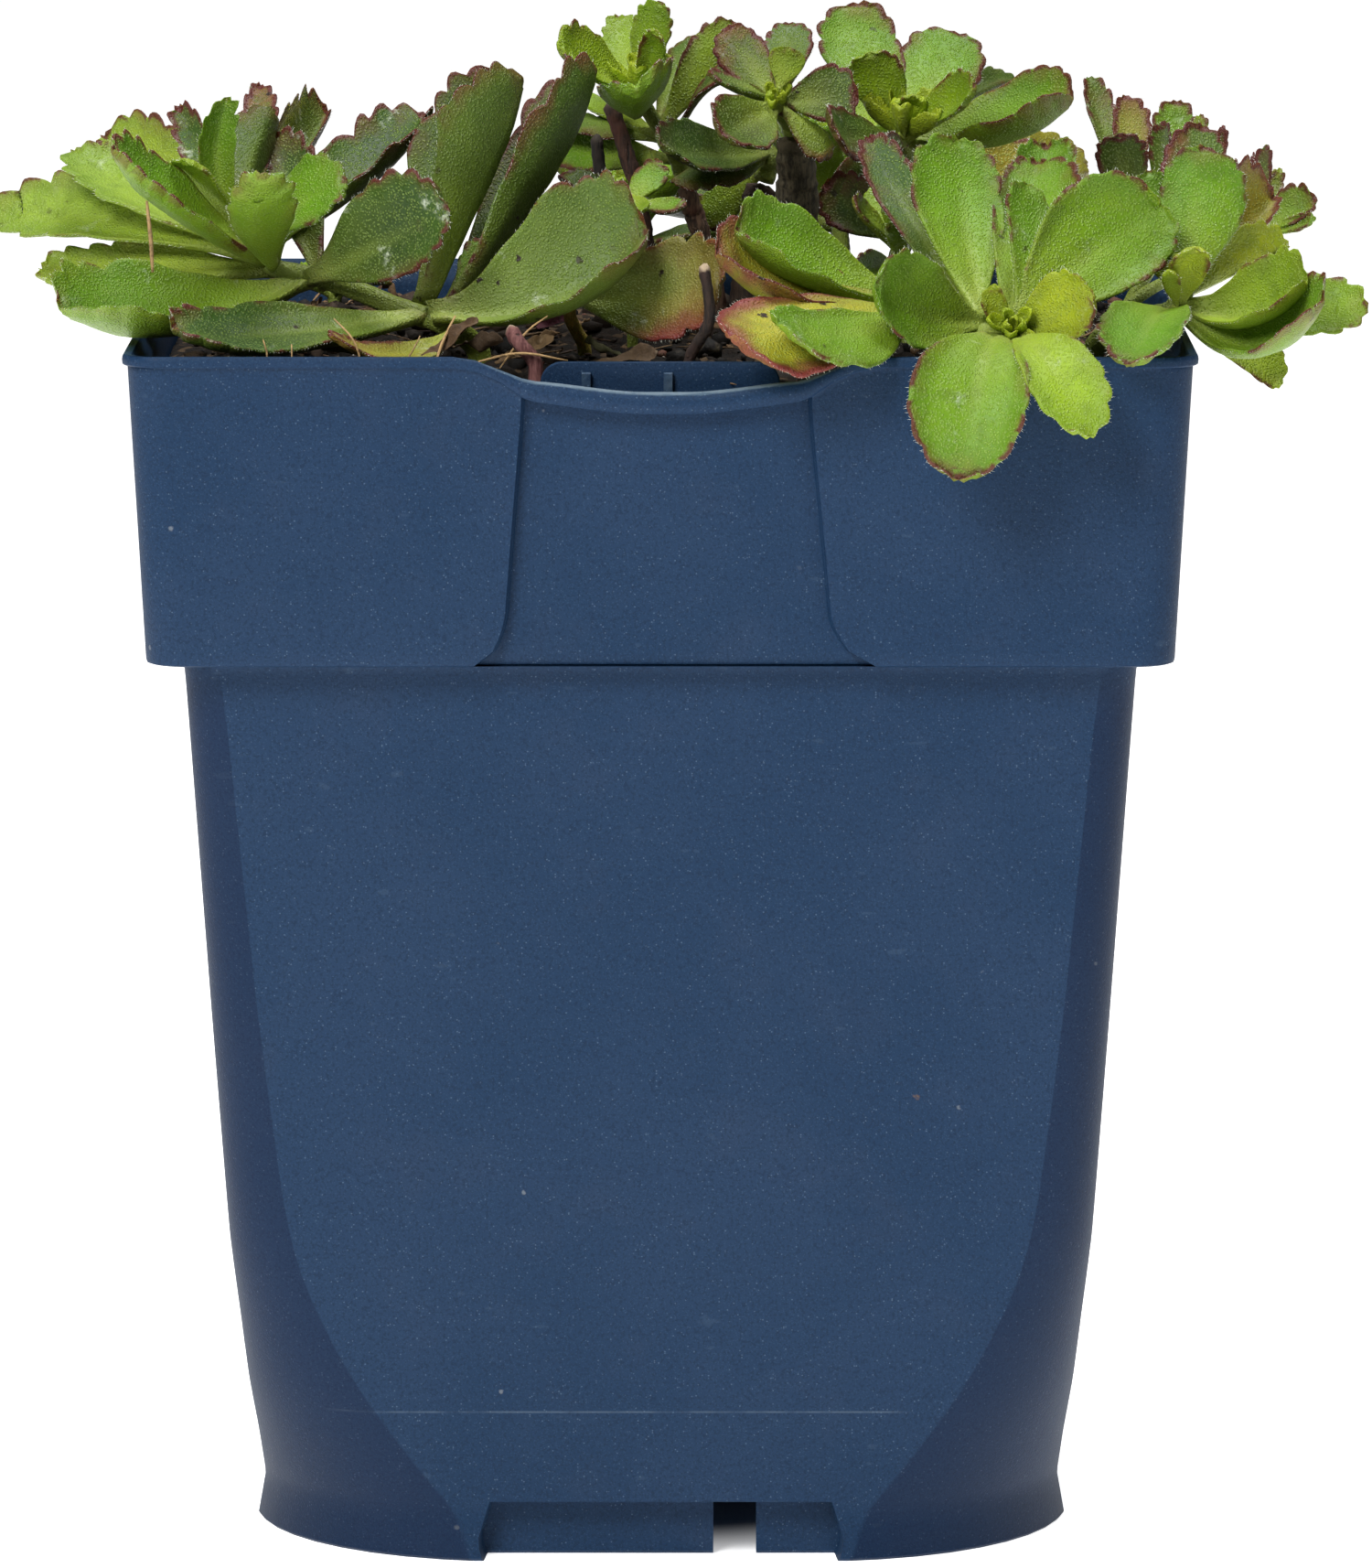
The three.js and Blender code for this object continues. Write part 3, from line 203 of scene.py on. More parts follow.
# Their leaves: root x, y, z, length, right and left half width, heading, rise, roll, fold, bow,
# sway and colour letter
LEAVES = {
    "shoot_left": [
        (-37, -31, 133.5, 28.5, 8.5, 8, -152, -6, 19, 41, -2.5, 1, "g"),
        (-41.5, -29, 135.5, 34.5, 5.5, 3.5, 151, 4, 46, 15, 1, -1.5, "p"),
        (-42, -28, 136.5, 26, 3.5, 6, 145, 19, 24, 20, 0, 0, "p"),
        (-40.5, -29, 134.5, 27, 4, 5, 156, -4, 34, 18, 0, 0, "p"),
        (-43.5, -27, 138, 29, 5.5, 2.5, 124, 16, 46, 22, 0, 0, "p"),
        (-41.5, -31, 136, 23.5, 5.5, 3.5, -140, 29, 31, 33, -0.5, 1, "g"),
        (-43.5, -30, 138.5, 14.5, 3, 3, 180, 84, 84, 54, 0, 2, "g"),
        (-43.5, -28, 138.5, 17.5, 3.5, 4, 75, 45, 126, 37, 1, -1, "d"),
        (-44, -28, 138.5, 18, 2.5, 2.5, 117, 41, 54, 40, 0, 0, "d"),
        (-43.5, -30, 138.5, 13, 1.5, 3.5, -124, 43, -175, 0, 0, 0, "b"),
        (-40.5, -31, 135.5, 18, 3, 4.5, -92, 33, -1, 12, -1, -1, "g"),
        (-40.5, -30, 135.5, 13.5, 4.5, 5.5, -34, 38, -53, 9, 2, 1, "g"),
        (-36, -32, 134, 21, 4.5, 6.5, -39, 24, -88, 10, 1, -0.5, "d"),
        (-35.5, -31, 133.5, 22, 4, 2.5, 106, 37, 32, 15, 0, 0, "d"),
        (-43.5, -28, 138.5, 27.5, 2.5, 2, 88, 28, 0, 16, 0, 0, "r"),
        (-43, -28, 138.5, 30.5, 1.5, 6, 75, 18, -5, 74, 0, 0, "r"),
        (-42, -28, 137, 26.5, 5.5, 6, 42, 26, -2, 47, -1, -0.5, "d"),
        (-24.5, -34, 131.5, 26.5, 8.5, 9, 36, 59, 25, 70, 0, 0.5, "d"),
        (-22.5, -35, 130.5, 34.5, 7, 6, 49, 43, 28, 59, -1, 0.5, "d"),
        (-23, -37, 130.5, 23.5, 11, 11.5, 3, 19, -36, 53, -2.5, -2, "c"),
        (-21, -34, 130, 9, 1.5, 1.5, 65, 60, -24, -6, 0, 0, "g"),
        (-24.5, -36, 130.5, 29.5, 4.5, 5.5, -152, -3, 27, 14, -0.5, 0.5, "d"),
        (-21, -37, 129.5, 18, 2, 3.5, -138, -2, 26, 10, -1, 2.5, "o"),
    ],
    "shoot_red": [
        (-9, -31, 132, 19, 5.5, 6, -29, 9, -70, 8, 0, -1.5, "e"),
    ],
    "shoot_top": [
        (-2.5, -1, 150.5, 14, 4.5, 2.5, -135, 24, 54, 26, 0, 0, "b"),
        (-2.5, 0, 150.5, 14, 2.5, 2.5, 100, 31, 10, 5, 0, 0, "b"),
        (-2.5, -1, 151, 10.5, 2, 3, -35, 70, -96, -4, 0, 0, "b"),
        (-2.5, -2, 150.5, 11, 2, 1.5, -71, 47, -135, 21, 0, 0, "b"),
        (-2.5, -1, 150, 16, 4.5, 6.5, -90, 7, -12, 43, -1.5, -0.5, "g"),
        (0, 0, 146.5, 14.5, 2, 3, 21, 55, -80, -21, 0, 0, "b"),
        (-0.5, 1, 147, 20, 2.5, 2, 76, 28, 170, 18, 0, 0, "d"),
        (-0.5, 1, 146.5, 14, 2, 1, 126, 10, 16, -9, 0, 0, "b"),
        (0.5, 2, 145.5, 16, 2, 3, 141, 6, -163, -2, 0, 0, "d"),
        (1, 3, 143.5, 17, 2.5, 3, 140, 2, 58, 0, 0, 0, "g"),
    ],
    "shoot_small_mid": [
        (-3.5, -22, 141, 4, 0.5, 1, -141, 41, 120, -17, 0, 0, "g"),
        (-3.5, -22, 141, 5, 0.5, 1, -98, 39, 174, -1, 0, 0, "b"),
        (-3.5, -21.5, 140.5, 6.5, 2, 2, 45, 41, -22, -15, 0, 0, "g"),
        (-3.5, -24, 142, 8.5, 0.5, 1.5, -80, -11, -2, 27, 0, 0, "b"),
        (-3, -22, 141, 7, 2, 1, -35, -2, -30, 7, 0, 0, "g"),
        (-3, -20.5, 139.5, 12, 3, 1, 133, 15, 7, 22, 0, 0, "r"),
    ],
    "shoot_low_centre": [
        (11.5, 4, 144, 22, 4, 3.5, -124, 5, 47, 25, -0.5, 0.5, "d"),
        (11.5, 5, 143.5, 16.5, 4, 1, -129, -3, -171, 12, 0, 0, "d"),
        (11, 6, 142.5, 10, 2, 3, 165, -37, 61, -22, 0, 0, "b"),
    ],
    "shoot_centre": [
        (12, -9, 151, 10, 3, 3, 136, 44, 41, -22, 0, 0, "m"),
        (12, -10, 150, 12, 4, 4.5, -122, -13, 46, 22, 0, 0, "m"),
        (12.5, -9, 150.5, 8.5, 3, 4, 7, 2, -64, 5, 0, 0, "m"),
        (12.5, -10, 152, 4.5, 2, 2, 0, 75, -90, -11, 0, 0, "b"),
        (12.5, -8, 150.5, 8.5, 2, 2.5, -165, 20, 16, 5, 0, 0, "r"),
        (12.5, -8, 151, 13, 3, 2.5, 84, 31, -1, 2, 0, 0, "r"),
        (13, -9.5, 149.5, 7, 2.5, 2.5, -5, -41, 145, 1, 0, 0, "r"),
        (12, -8, 150.5, 12, 2, 2, 143, -14, 39, 10, 3, -2.5, "d"),
    ],
    "shoot_upper_right": [
        (26, 6, 134.5, 10.5, 3.5, 3.5, 167, 33, 64, -2, 0, 0, "d"),
        (25.5, 0, 146, 11, 3, 3.5, -131, 62, 145, -20, 0, 0, "b"),
        (25.5, 2, 146.5, 19, 3.5, 6, 107, 39, 2, 0, 0, 0, "g"),
        (26, 2, 146.5, 17, 4.5, 5, 64, 33, -27, -3, 0, 0, "g"),
        (26, 3, 146, 24, 2.5, 1, 55, 14, 156, -46, 0, 0, "d"),
        (26, -1, 146, 13.5, 2, 3.5, -49, 26, -64, 25, 0, 0, "b"),
        (26, 1, 145.5, 20, 6, 6.5, -21, 12, -23, 44, -1.5, -0.5, "g"),
        (25.5, -2, 147, 6, 1, 1.5, -72, 44, -170, 3, 0, 0, "b"),
        (25.5, -1, 145.5, 19.5, 3.5, 3, -117, 8, 60, 2, 0, 0.5, "d"),
        (26, 0, 145, 14.5, 2, 1, -103, 3, 66, 44, 0, 0, "r"),
        (26, 3, 144, 31.5, 3.5, 3, 47, -5, 117, -22, 0, 0, "o"),
        (26, 5, 139, 18, 1.5, 4.5, 31, 9, -58, 8, 0, 0, "o"),
    ],
    "shoot_front_right": [
        (33, -43, 131, 23.5, 4.5, 6.5, 98, 43, -14, 15, -1, 0, "g"),
        (32, -41, 130.5, 28.5, 3, 3, 116, 35, 19, 26, 0, 0, "d"),
        (36, -48, 130, 17, 2, 4, 81, 54, -25, 16, 0.5, -2, "g"),
        (35.5, -47, 129.5, 37, 5, 4, 81, 25, -7, 40, 0, 0, "g"),
        (35.5, -48, 130, 31.5, 6, 4, 82, 27, -5, 30, 0, 0, "g"),
        (36, -48, 130, 22.5, 6, 7, 38, 30, -58, 10, 0, 1, "g"),
        (33, -44, 130.5, 16.5, 6, 5, -140, 16, 78, 29, -0.5, 1, "g"),
        (36, -49, 129.5, 11, 3.5, 4, -30, 27, -89, 13, 0, 0, "y"),
        (36, -49, 129, 6.5, 1, 2, -150, 71, 137, 33, 0, 0, "y"),
        (34.5, -49, 129.5, 20.5, 7, 6, -107, -44, 13, 20, 6, 0, "g"),
        (36, -50, 129, 18.5, 4, 4.5, -62, -30, -16, 14, 4.5, -0.5, "b"),
        (25.5, -41, 132.5, 21, 7, 5, -159, 20, 28, 44, -1.5, 1, "g"),
        (25.5, -42, 132, 22.5, 7.5, 5.5, -158, 12, 23, 35, -1.5, 1.5, "o"),
        (26, -45, 131.5, 26, 6, 6.5, -139, -4, 35, -15, 1.5, 0.5, "s"),
        (25.5, -46, 132, 22, 4, 5, -130, -1, 37, -3, 0, 2.5, "g"),
    ],
    "shoot_small_light": [
        (24.5, -20, 136.5, 8, 1.5, 1.5, -140, 38, 55, 14, 0, 0, "b"),
        (24.5, -19.5, 137, 6.5, 1, 1.5, 124, 49, 17, -26, 0, 0, "b"),
        (25, -20, 136.5, 5.5, 1, 1.5, -108, 68, 156, -12, 0, 0, "b"),
        (25, -20, 134.5, 8.5, 1.5, 2, -83, 44, -177, -1, 0, 0, "g"),
        (25, -20, 134, 17, 2.5, 2.5, -109, 1, 55, 43, 0, 0, "g"),
    ],
    "shoot_right": [
        (54, -37, 132.5, 16.5, 5.5, 4, 70, 64, -24, -10, 0, 0, "g"),
        (54, -36, 132.5, 21.5, 3.5, 4, 79, 49, -20, 3, 0, 0, "r"),
        (54, -36, 132, 24, 2, 8, 63, 19, -32, 50, 0, 0, "o"),
        (53.5, -36, 132, 14.5, 2.5, 3, 115, 63, 15, -10, 0, 0, "g"),
        (54, -38, 132, 10.5, 2, 2.5, -84, 41, 179, 14, 0, 0, "y"),
        (53.5, -38, 131.5, 9.5, 1, 1, -100, 31, 171, 16, 0, 0, "y"),
        (54, -38, 131.5, 14.5, 5, 6, -25, 11, -41, 51, -2, -1.5, "b"),
        (53.5, -38, 131, 17.5, 5, 6.5, -31, 4, -33, 35, -3.5, -2, "g"),
        (54, -36, 132, 16, 0, 4.5, 41, 16, -61, 19, 0, 0, "y"),
        (53, -38, 130.5, 23, 5, 5, -104, -11, 3, 25, 2.5, 0, "g"),
        (53.5, -37, 131, 13.5, 1.5, 3.5, 5, -35, -119, -29, 0, 0, "y"),
        (54, -36, 131.5, 19.5, 3, 4, -6, -2, -62, 4, 0, 0, "b"),
    ],
    "shoot_far_right": [
        (64, -2, 136.5, 9, 1, 1.5, 70, 76, -31, -26, 0, 0, "d"),
        (64, -1.5, 136.5, 8.5, 0.5, 0.5, 99, 65, 4, -2, 0, 0, "d"),
        (64, -2, 136, 7.5, 2, 3, -18, 30, -61, 28, 0, 0, "g"),
        (64.5, -2, 136, 7, 1.5, 1, -37, 15, -60, 28, 0, 0, "g"),
        (64, -2, 136.5, 8.5, 1, 1, 67, 42, -25, 12, 0, 0, "y"),
    ],
    "shoot_back_a": [
        (50.5, 14, 138.5, 16, 2.5, 1.5, 113, 47, -1, 23, 0, 0, "r"),
        (50.5, 14, 138.5, 12, 3, 1.5, 91, 60, -2, 7, 0, 0, "o"),
        (50.5, 12, 137, 10, 3, 3, -106, 66, 169, -6, 0, 0, "r"),
    ],
    "shoot_back_b": [
        (55, 6, 136, 12, 1.5, 2, -124, 78, 127, -45, 0, 0, "r"),
        (55.5, 7, 137, 14.5, 2.5, 3, 88, 51, -8, 6, 0, 0, "g"),
        (55.5, 7, 137, 12, 1.5, 1, 60, 61, -27, 12, 0, 0, "b"),
        (55.5, 7, 136.5, 11.5, 1.5, 0.5, 11, 62, -58, -16, 0, 0, "d"),
    ],
}

# Bare woody stems: radius and points, the first a foot in the soil
WOODY = {
    "stem_top": (1.1, [(6, 4), (5, 4, 132.5), (3.5, 4, 137.5), (3.3, 3.8, 138), (2.7, 3.3, 140.7)]),
    "stem_dead_a": (0.9, [
        (-1, 3), (-2, 2.5, 137), (-3, 2.5, 141.5), (-4.5, 2.5, 146.5), (-5.5, 2.5, 149.5),
    ]),
    "stem_dead_b": (0.7, [(-6, 4), (-6.5, 3, 140.5), (-7, 2.5, 146)]),
    "stem_low_centre": (1.7, [(9, 4), (10, 4, 137.5), (10.9, 4.6, 140.5)]),
    "stem_centre": (2.2, [(14, -2), (14.5, -3, 138.5), (14.3, -4.8, 146.4)]),
    "twig_front": (0.6, [(3, -42), (5, -43, 130.5), (4.5, -44, 136.5)]),
    "stem_cut": (0.8, [(-12.9, -45.8), (-14.5, -46, 128.5), (-15.5, -45, 130)]),
}

# Shoots behind: foot, crown, stem radius, leaves, reach, lean heading, lean, youngest and lowest
# rise, and how far the leaves spread down the stem
HIDDEN_SHOOTS = {
    "shoot_back_middle": ((-4, 30), (-3.8, 36.8, 133), 1.0, 9, 15.0, 90, 1.0, 76, 6, 2.5),
    "shoot_back_right": ((20, 30), (19.6, 42.6, 135), 1.1, 11, 22.5, 90, 1.0, 76, 2, 2.5),
    "shoot_back_corner": ((38, 30), (39, 32, 130.5), 0.9, 7, 12.0, 45, 0.6, 76, 14, 2.5),
    "shoot_back_left": ((-36, 27), (-36, 27, 127.2), 0.8, 6, 8.0, 135, 0.2, 30, 4, 0.8),
}

# How much deeper than usual a shoot's leaves are toothed
TOOTHED = {"shoot_left": 1.5, "shoot_far_right": 1.4, "shoot_top": 1.2, "shoot_front_right": 0.65}

# Crowns in view: place, lean to the front, number of the youngest leaves, length of the longest
BUDS = {
    "shoot_centre": ((12, -10, 150.6), 40, 6, 2.6),
    "shoot_front_right": ((36, -51, 130.3), 55, 8, 3.6),
    "shoot_right": ((54.2, -38, 134.0), 35, 7, 4.0),
    "shoot_upper_right": ((26, -3, 147.0), 15, 8, 6.0),
    "shoot_top": ((-2.0, -3, 151.5), 15, 7, 5.0),
    "shoot_left": ((-43.4, -29.5, 138.8), 20, 8, 6.0),
    "shoot_small_mid": ((-6.0, -22, 138.5), 20, 6, 3.0),
}
NO_BUDS = ((0, 0, 0), 0, 0, 0)

# Bark: dark, light, flushed and tip colour
BARK = {
    "stem_top": (
        (0.030, 0.016, 0.010), (0.19, 0.110, 0.062), (0.13, 0.046, 0.026), (0.10, 0.06, 0.035)),
    "stem_dead_a": (
        (0.022, 0.010, 0.007), (0.10, 0.044, 0.026), (0.09, 0.027, 0.016), (0.05, 0.03, 0.02)),
    "stem_dead_b": (
        (0.006, 0.004, 0.003), (0.028, 0.018, 0.012), (0.02, 0.010, 0.007), (0.03, 0.02, 0.012)),
    "stem_low_centre": (
        (0.020, 0.012, 0.008), (0.070, 0.042, 0.025), (0.05, 0.022, 0.013), (0.08, 0.05, 0.03)),
    "stem_centre": (
        (0.028, 0.022, 0.012), (0.145, 0.118, 0.068), (0.06, 0.050, 0.024), (0.08, 0.06, 0.03)),
    "twig_front": (
        (0.008, 0.005, 0.004), (0.040, 0.022, 0.014), (0.035, 0.013, 0.009), (0.45, 0.34, 0.22)),
    "stem_cut": (
        (0.075, 0.018, 0.018), (0.22, 0.095, 0.085), (0.16, 0.055, 0.045), (0.34, 0.26, 0.18)),
}

# Litter: colours, and the twenty-sided solid that each crumb is made from
STRAW = (0.42, 0.27, 0.12)
FIBRE_COLOURS = ((0.16, 0.095, 0.045), (0.09, 0.05, 0.028), (0.26, 0.16, 0.08), (0.05, 0.03, 0.02))
CRUMB_COLOURS = (
    (0.011, 0.007, 0.004), (0.020, 0.012, 0.007), (0.038, 0.022, 0.012), (0.006, 0.005, 0.004),
)
GRIT_COLOURS = ((0.6, 0.58, 0.52), (0.45, 0.42, 0.36))
CHIP_COLOURS = ((0.20, 0.12, 0.06), (0.14, 0.06, 0.04))
LUMP = np.array([
    [0, 0, 1], [0.89, 0, 0.45], [0.28, 0.85, 0.45], [-0.72, 0.53, 0.45], [-0.72, -0.53, 0.45],
    [0.28, -0.85, 0.45], [0.72, 0.53, -0.45], [-0.28, 0.85, -0.45], [-0.89, 0, -0.45],
    [-0.28, -0.85, -0.45], [0.72, -0.53, -0.45], [0, 0, -1],
])
LUMP_FACES = np.array([
    [0, 1, 2], [0, 2, 3], [0, 3, 4], [0, 4, 5], [0, 5, 1], [1, 6, 2], [2, 6, 7], [2, 7, 3],
    [3, 7, 8], [3, 8, 4], [4, 8, 9], [4, 9, 5], [5, 9, 10], [5, 10, 1], [1, 10, 6], [6, 11, 7],
    [7, 11, 8], [8, 11, 9], [9, 11, 10], [10, 11, 6],
])
# Straws and root threads in view: radius and points
STRAWS = (
    (0.16, [(-23.4, -48, 125.5), (-22.4, -46.5, 128.6), (-21.1, -44.5, 131.2)]),
    (0.11, [(-30.2, -50.5, 125.5), (-31.4, -50.5, 129.3), (-33.4, -49.5, 131.4)]),
    (0.24, [(-52.3, -42.4, 135.5), (-52.5, -42, 139), (-52.9, -41.5, 142.8)]),
    (0.10, [(-37.6, -51.2, 125.5), (-37.7, -50.8, 128.9)]),
    (0.12, [(-16.5, -46.5, 126), (-13.6, -45.5, 129.8), (-11.6, -44.6, 131.2)]),
    (0.09, [(-27.0, -50.2, 125.5), (-25.2, -49.7, 128.4), (-24.6, -49.2, 129.6)]),
    (0.10, [(-41.5, -51.4, 125.5), (-40.2, -51.2, 127.6), (-40.6, -51, 129.4)]),
    (0.14, [(-19.5, -46.8, 126.5), (-14.5, -47.2, 127.6), (-9.5, -46.6, 126.8)]),
)
# Dry fallen leaves in view: root place, length, width, heading, rise, roll, colour
DRY_LEAVES = (
    (-24.5, -46.5, 127.2, 7, 0.9, 10, 30, -40, (0.10, 0.055, 0.025)),
    (-21.5, -43, 127.4, 7, 1.0, -40, 12, 30, (0.06, 0.036, 0.018)),
    (-17.0, -46, 126.4, 7, 0.9, 25, 20, -50, (0.13, 0.08, 0.035)),
    (-8.0, -45, 126.2, 8, 1.0, -6, 8, -45, (0.07, 0.042, 0.02)),
    (-3.0, -42, 126.3, 6, 0.9, 150, 14, -35, (0.05, 0.05, 0.02)),
    (-13.0, -30, 128.4, 5, 1.3, 30, 30, -60, (0.085, 0.014, 0.026)),
    (-27.0, -41, 126.8, 10, 1.0, 186, 5, -40, (0.09, 0.10, 0.03)),
    (8.0, -44, 126.2, 6, 0.8, -20, 10, -30, (0.07, 0.042, 0.02)),
)


# Numbers and shapes that repeat


def random_source(seed):
    """A random source that gives the same draws on every run."""
    return np.random.default_rng(seed)


def smooth(value, low, high):
    """0 at low, 1 at high, and the cubic 3t^2 - 2t^3 between them; low may be the higher one."""
    t = np.clip((value - low) / (high - low), 0, 1)
    return t * t * (3 - 2 * t)


def rounded_end(travel, start, least):
    """1 up to the start, then the square root of 1 - t^2 up to the end, but never below a least."""
    t = ((travel - start) / (1 - start)).clip(0)
    return np.sqrt(np.clip(1 - t**2, least, 1))


def circle(count):
    """Cosines and sines of a number of even steps round a circle."""
    angle = np.linspace(0, FULL_TURN, count, endpoint=False)
    return np.cos(angle), np.sin(angle)


def turned(points, cos, sin):
    """Points turned about the upright axis by the angle of a cosine and sine."""
    x, y = points[..., 0] * cos - points[..., 1] * sin, points[..., 0] * sin + points[..., 1] * cos
    return np.concatenate([x[..., None], y[..., None], points[..., 2:]], -1)


def lattice(cells, seed):
    """A number from 0 to 1 for each whole cell, from the fraction of a large sine."""
    x, y, z = (cells[..., axis].astype(float) for axis in range(3))
    mixed = np.sin(x * 127.1 + y * 311.7 + z * 74.7 + seed * 19.19)
    return np.mod(mixed * 43758.5453, 1.0)


def clouds(points, size, seed, octaves):
    """Value noise about 0: cell values blended by smoothstep, each octave half the size and
    height."""
    total = np.zeros(points.shape[:-1])
    weight = 1.0
    for octave in range(octaves):
        scaled = points / size * 2**octave + 31.7 * octave
        base = np.floor(scaled)
        t = smooth(scaled - base, 0, 1)
        value = np.zeros(points.shape[:-1])
        for corner in np.ndindex(2, 2, 2):
            step = np.array(corner)
            share = np.prod(np.where(step == 1, t, 1 - t), axis=-1)
            value += share * lattice(base + step, seed + octave)
        total += weight * (value * 2 - 1)
        weight *= 0.5
    return total


def through(points, spacing):
    """Points a spacing apart along a centripetal Catmull-Rom curve through the given points: the
    knots are apart by the square root of the distance, and each stretch blends lines, then
    parabolas."""
    p = np.array(points, float)
    p = np.vstack([2 * p[0] - p[1], p, 2 * p[-1] - p[-2]])
    out = []
    for i in range(1, len(p) - 2):
        a, b, c, d = p[i - 1 : i + 3]
        ta = 0.0
        tb, tc, td = np.cumsum([max(np.linalg.norm(v), 1e-6) ** 0.5 for v in (b - a, c - b, d - c)])
        steps = max(2, int(math.ceil(np.linalg.norm(c - b) / spacing)))
        t = np.linspace(tb, tc, steps, endpoint=False)[:, None]
        ab = (tb - t) / (tb - ta) * a + (t - ta) / (tb - ta) * b
        bc = (tc - t) / (tc - tb) * b + (t - tb) / (tc - tb) * c
        cd = (td - t) / (td - tc) * c + (t - tc) / (td - tc) * d
        abc = (tc - t) / (tc - ta) * ab + (t - ta) / (tc - ta) * bc
        bcd = (td - t) / (td - tb) * bc + (t - tb) / (td - tb) * cd
        out.append((tc - t) / (tc - tb) * abc + (t - tb) / (tc - tb) * bcd)
    return np.vstack([*out, p[-2][None]])


def placed(name, data):
    """A mesh, lamp or camera as an object in the scene."""
    made = bpy.data.objects.new(name, data)
    bpy.context.scene.collection.objects.link(made)
    return made


class Sheaf:
    """Collects grids into one mesh, with named numbers at each point."""

    def __init__(self, *layers):
        """Starts empty, with a list for each layer."""
        self.points, self.quads, self.triangles = [], [], []
        self.layers = {name: [] for name in layers}
        self.count = 0

    def add(self, points, quads=None, triangles=None, **layers):
        """Adds points (n x 3), faces by index, and one value or n values for each layer."""
        points = np.asarray(points, float).reshape(-1, 3)
        for faces, store, sides in ((quads, self.quads, 4), (triangles, self.triangles, 3)):
            if faces is not None:
                store.append(np.asarray(faces).reshape(-1, sides) + self.count)
        for name, store in self.layers.items():
            value = np.asarray(layers.get(name, 0.0), float)
            wide = (len(points), 3) if name == "tint" else (len(points),)
            spread = value.ndim < len(wide)
            store.append(np.broadcast_to(value, wide) if spread else value.reshape(wide))
        self.points.append(points)
        self.count += len(points)

    def skin(self, rings, end=None, **layers):
        """Adds a closed skin over rings (m x n x 3): quads between the rings, and a fan at each
        end to the ring's mean point or to a given end point."""
        rings = np.asarray(rings, float)
        m, n = rings.shape[:2]
        end = rings[-1].mean(0) if end is None else end
        points = np.vstack([rings.reshape(-1, 3), [rings[0].mean(0)], [end]])
        level, i = np.meshgrid(np.arange(m - 1), np.arange(n), indexing="ij")
        a, b = level * n + i, level * n + (i + 1) % n
        quads = np.stack([a, b, b + n, a + n], -1)
        j = np.arange(n)
        k = (j + 1) % n
        low = np.stack([np.full(n, m * n), k, j], -1)
        high = np.stack([np.full(n, m * n + 1), (m - 1) * n + j, (m - 1) * n + k], -1)
        spread = {}
        for name, value in layers.items():
            value = np.asarray(value, float)
            if value.shape[:2] == (m, n):
                flat = value.reshape(m * n, *value.shape[2:])
                value = np.concatenate([flat, flat[:n].mean(0)[None], flat[-n:].mean(0)[None]])
            spread[name] = value
        self.add(points, quads, np.vstack([low, high]), **spread)

    def object(self, name, material):
        """Makes the Blender object, in metres, with its layers as point attributes."""
        points = np.vstack(self.points) * MM
        quads = np.vstack(self.quads) if self.quads else np.zeros((0, 4), int)
        triangles = np.vstack(self.triangles) if self.triangles else np.zeros((0, 3), int)
        mesh = bpy.data.meshes.new(name)
        mesh.vertices.add(len(points))
        mesh.vertices.foreach_set("co", points.astype(np.float32).ravel())
        corners = np.concatenate([quads.ravel(), triangles.ravel()]).astype(np.int32)
        mesh.loops.add(len(corners))
        mesh.loops.foreach_set("vertex_index", corners)
        totals = np.repeat([4, 3], [len(quads), len(triangles)]).astype(np.int32)
        starts = np.concatenate([[0], np.cumsum(totals)[:-1]]).astype(np.int32)
        mesh.polygons.add(len(totals))
        mesh.polygons.foreach_set("loop_start", starts)
        mesh.polygons.foreach_set("loop_total", totals)
        mesh.update(calc_edges=True)
        mesh.polygons.foreach_set("use_smooth", np.ones(len(totals), bool))
        for layer, store in self.layers.items():
            values = np.concatenate(store)
            if layer == "tint":
                kind, field = "FLOAT_COLOR", "color"
                values = np.hstack([values, np.ones((len(points), 1))])
            else:
                kind, field = "FLOAT", "value"
            attribute = mesh.attributes.new(layer, kind, "POINT")
            attribute.data.foreach_set(field, values.astype(np.float32).ravel())
        mesh.materials.append(material)
        return placed(name, mesh)


def cross_frames(path):
    """Two directions across a path at each of its points, turned as little as can be: each is the
    one before, less its part along the path."""
    ahead = np.gradient(path, axis=0)
    ahead /= np.linalg.norm(ahead, axis=1, keepdims=True)
    side = np.cross(ahead[0], (0.3, 0.9, 0.1))
    sides = []
    for direction in ahead:
        side = side - direction * side.dot(direction)
        side = side / np.linalg.norm(side)
        sides.append(side)
    sides = np.array(sides)
    return sides, np.cross(ahead, sides)


def tube_rings(path, radius, around, seed, rough, grain):
    """Rings round a path: the radius times 1 plus a share of noise with the given grain."""
    sides, ups = cross_frames(path)
    cos, sin = circle(around)
    direction = sides[:, None] * cos[:, None] + ups[:, None] * sin[:, None]
    rings = path[:, None] + radius[:, None, None] * direction
    swell = rough * clouds(rings, grain, seed, 3)
    return path[:, None] + (radius[:, None] * (1 + swell))[..., None] * direction


# Looks


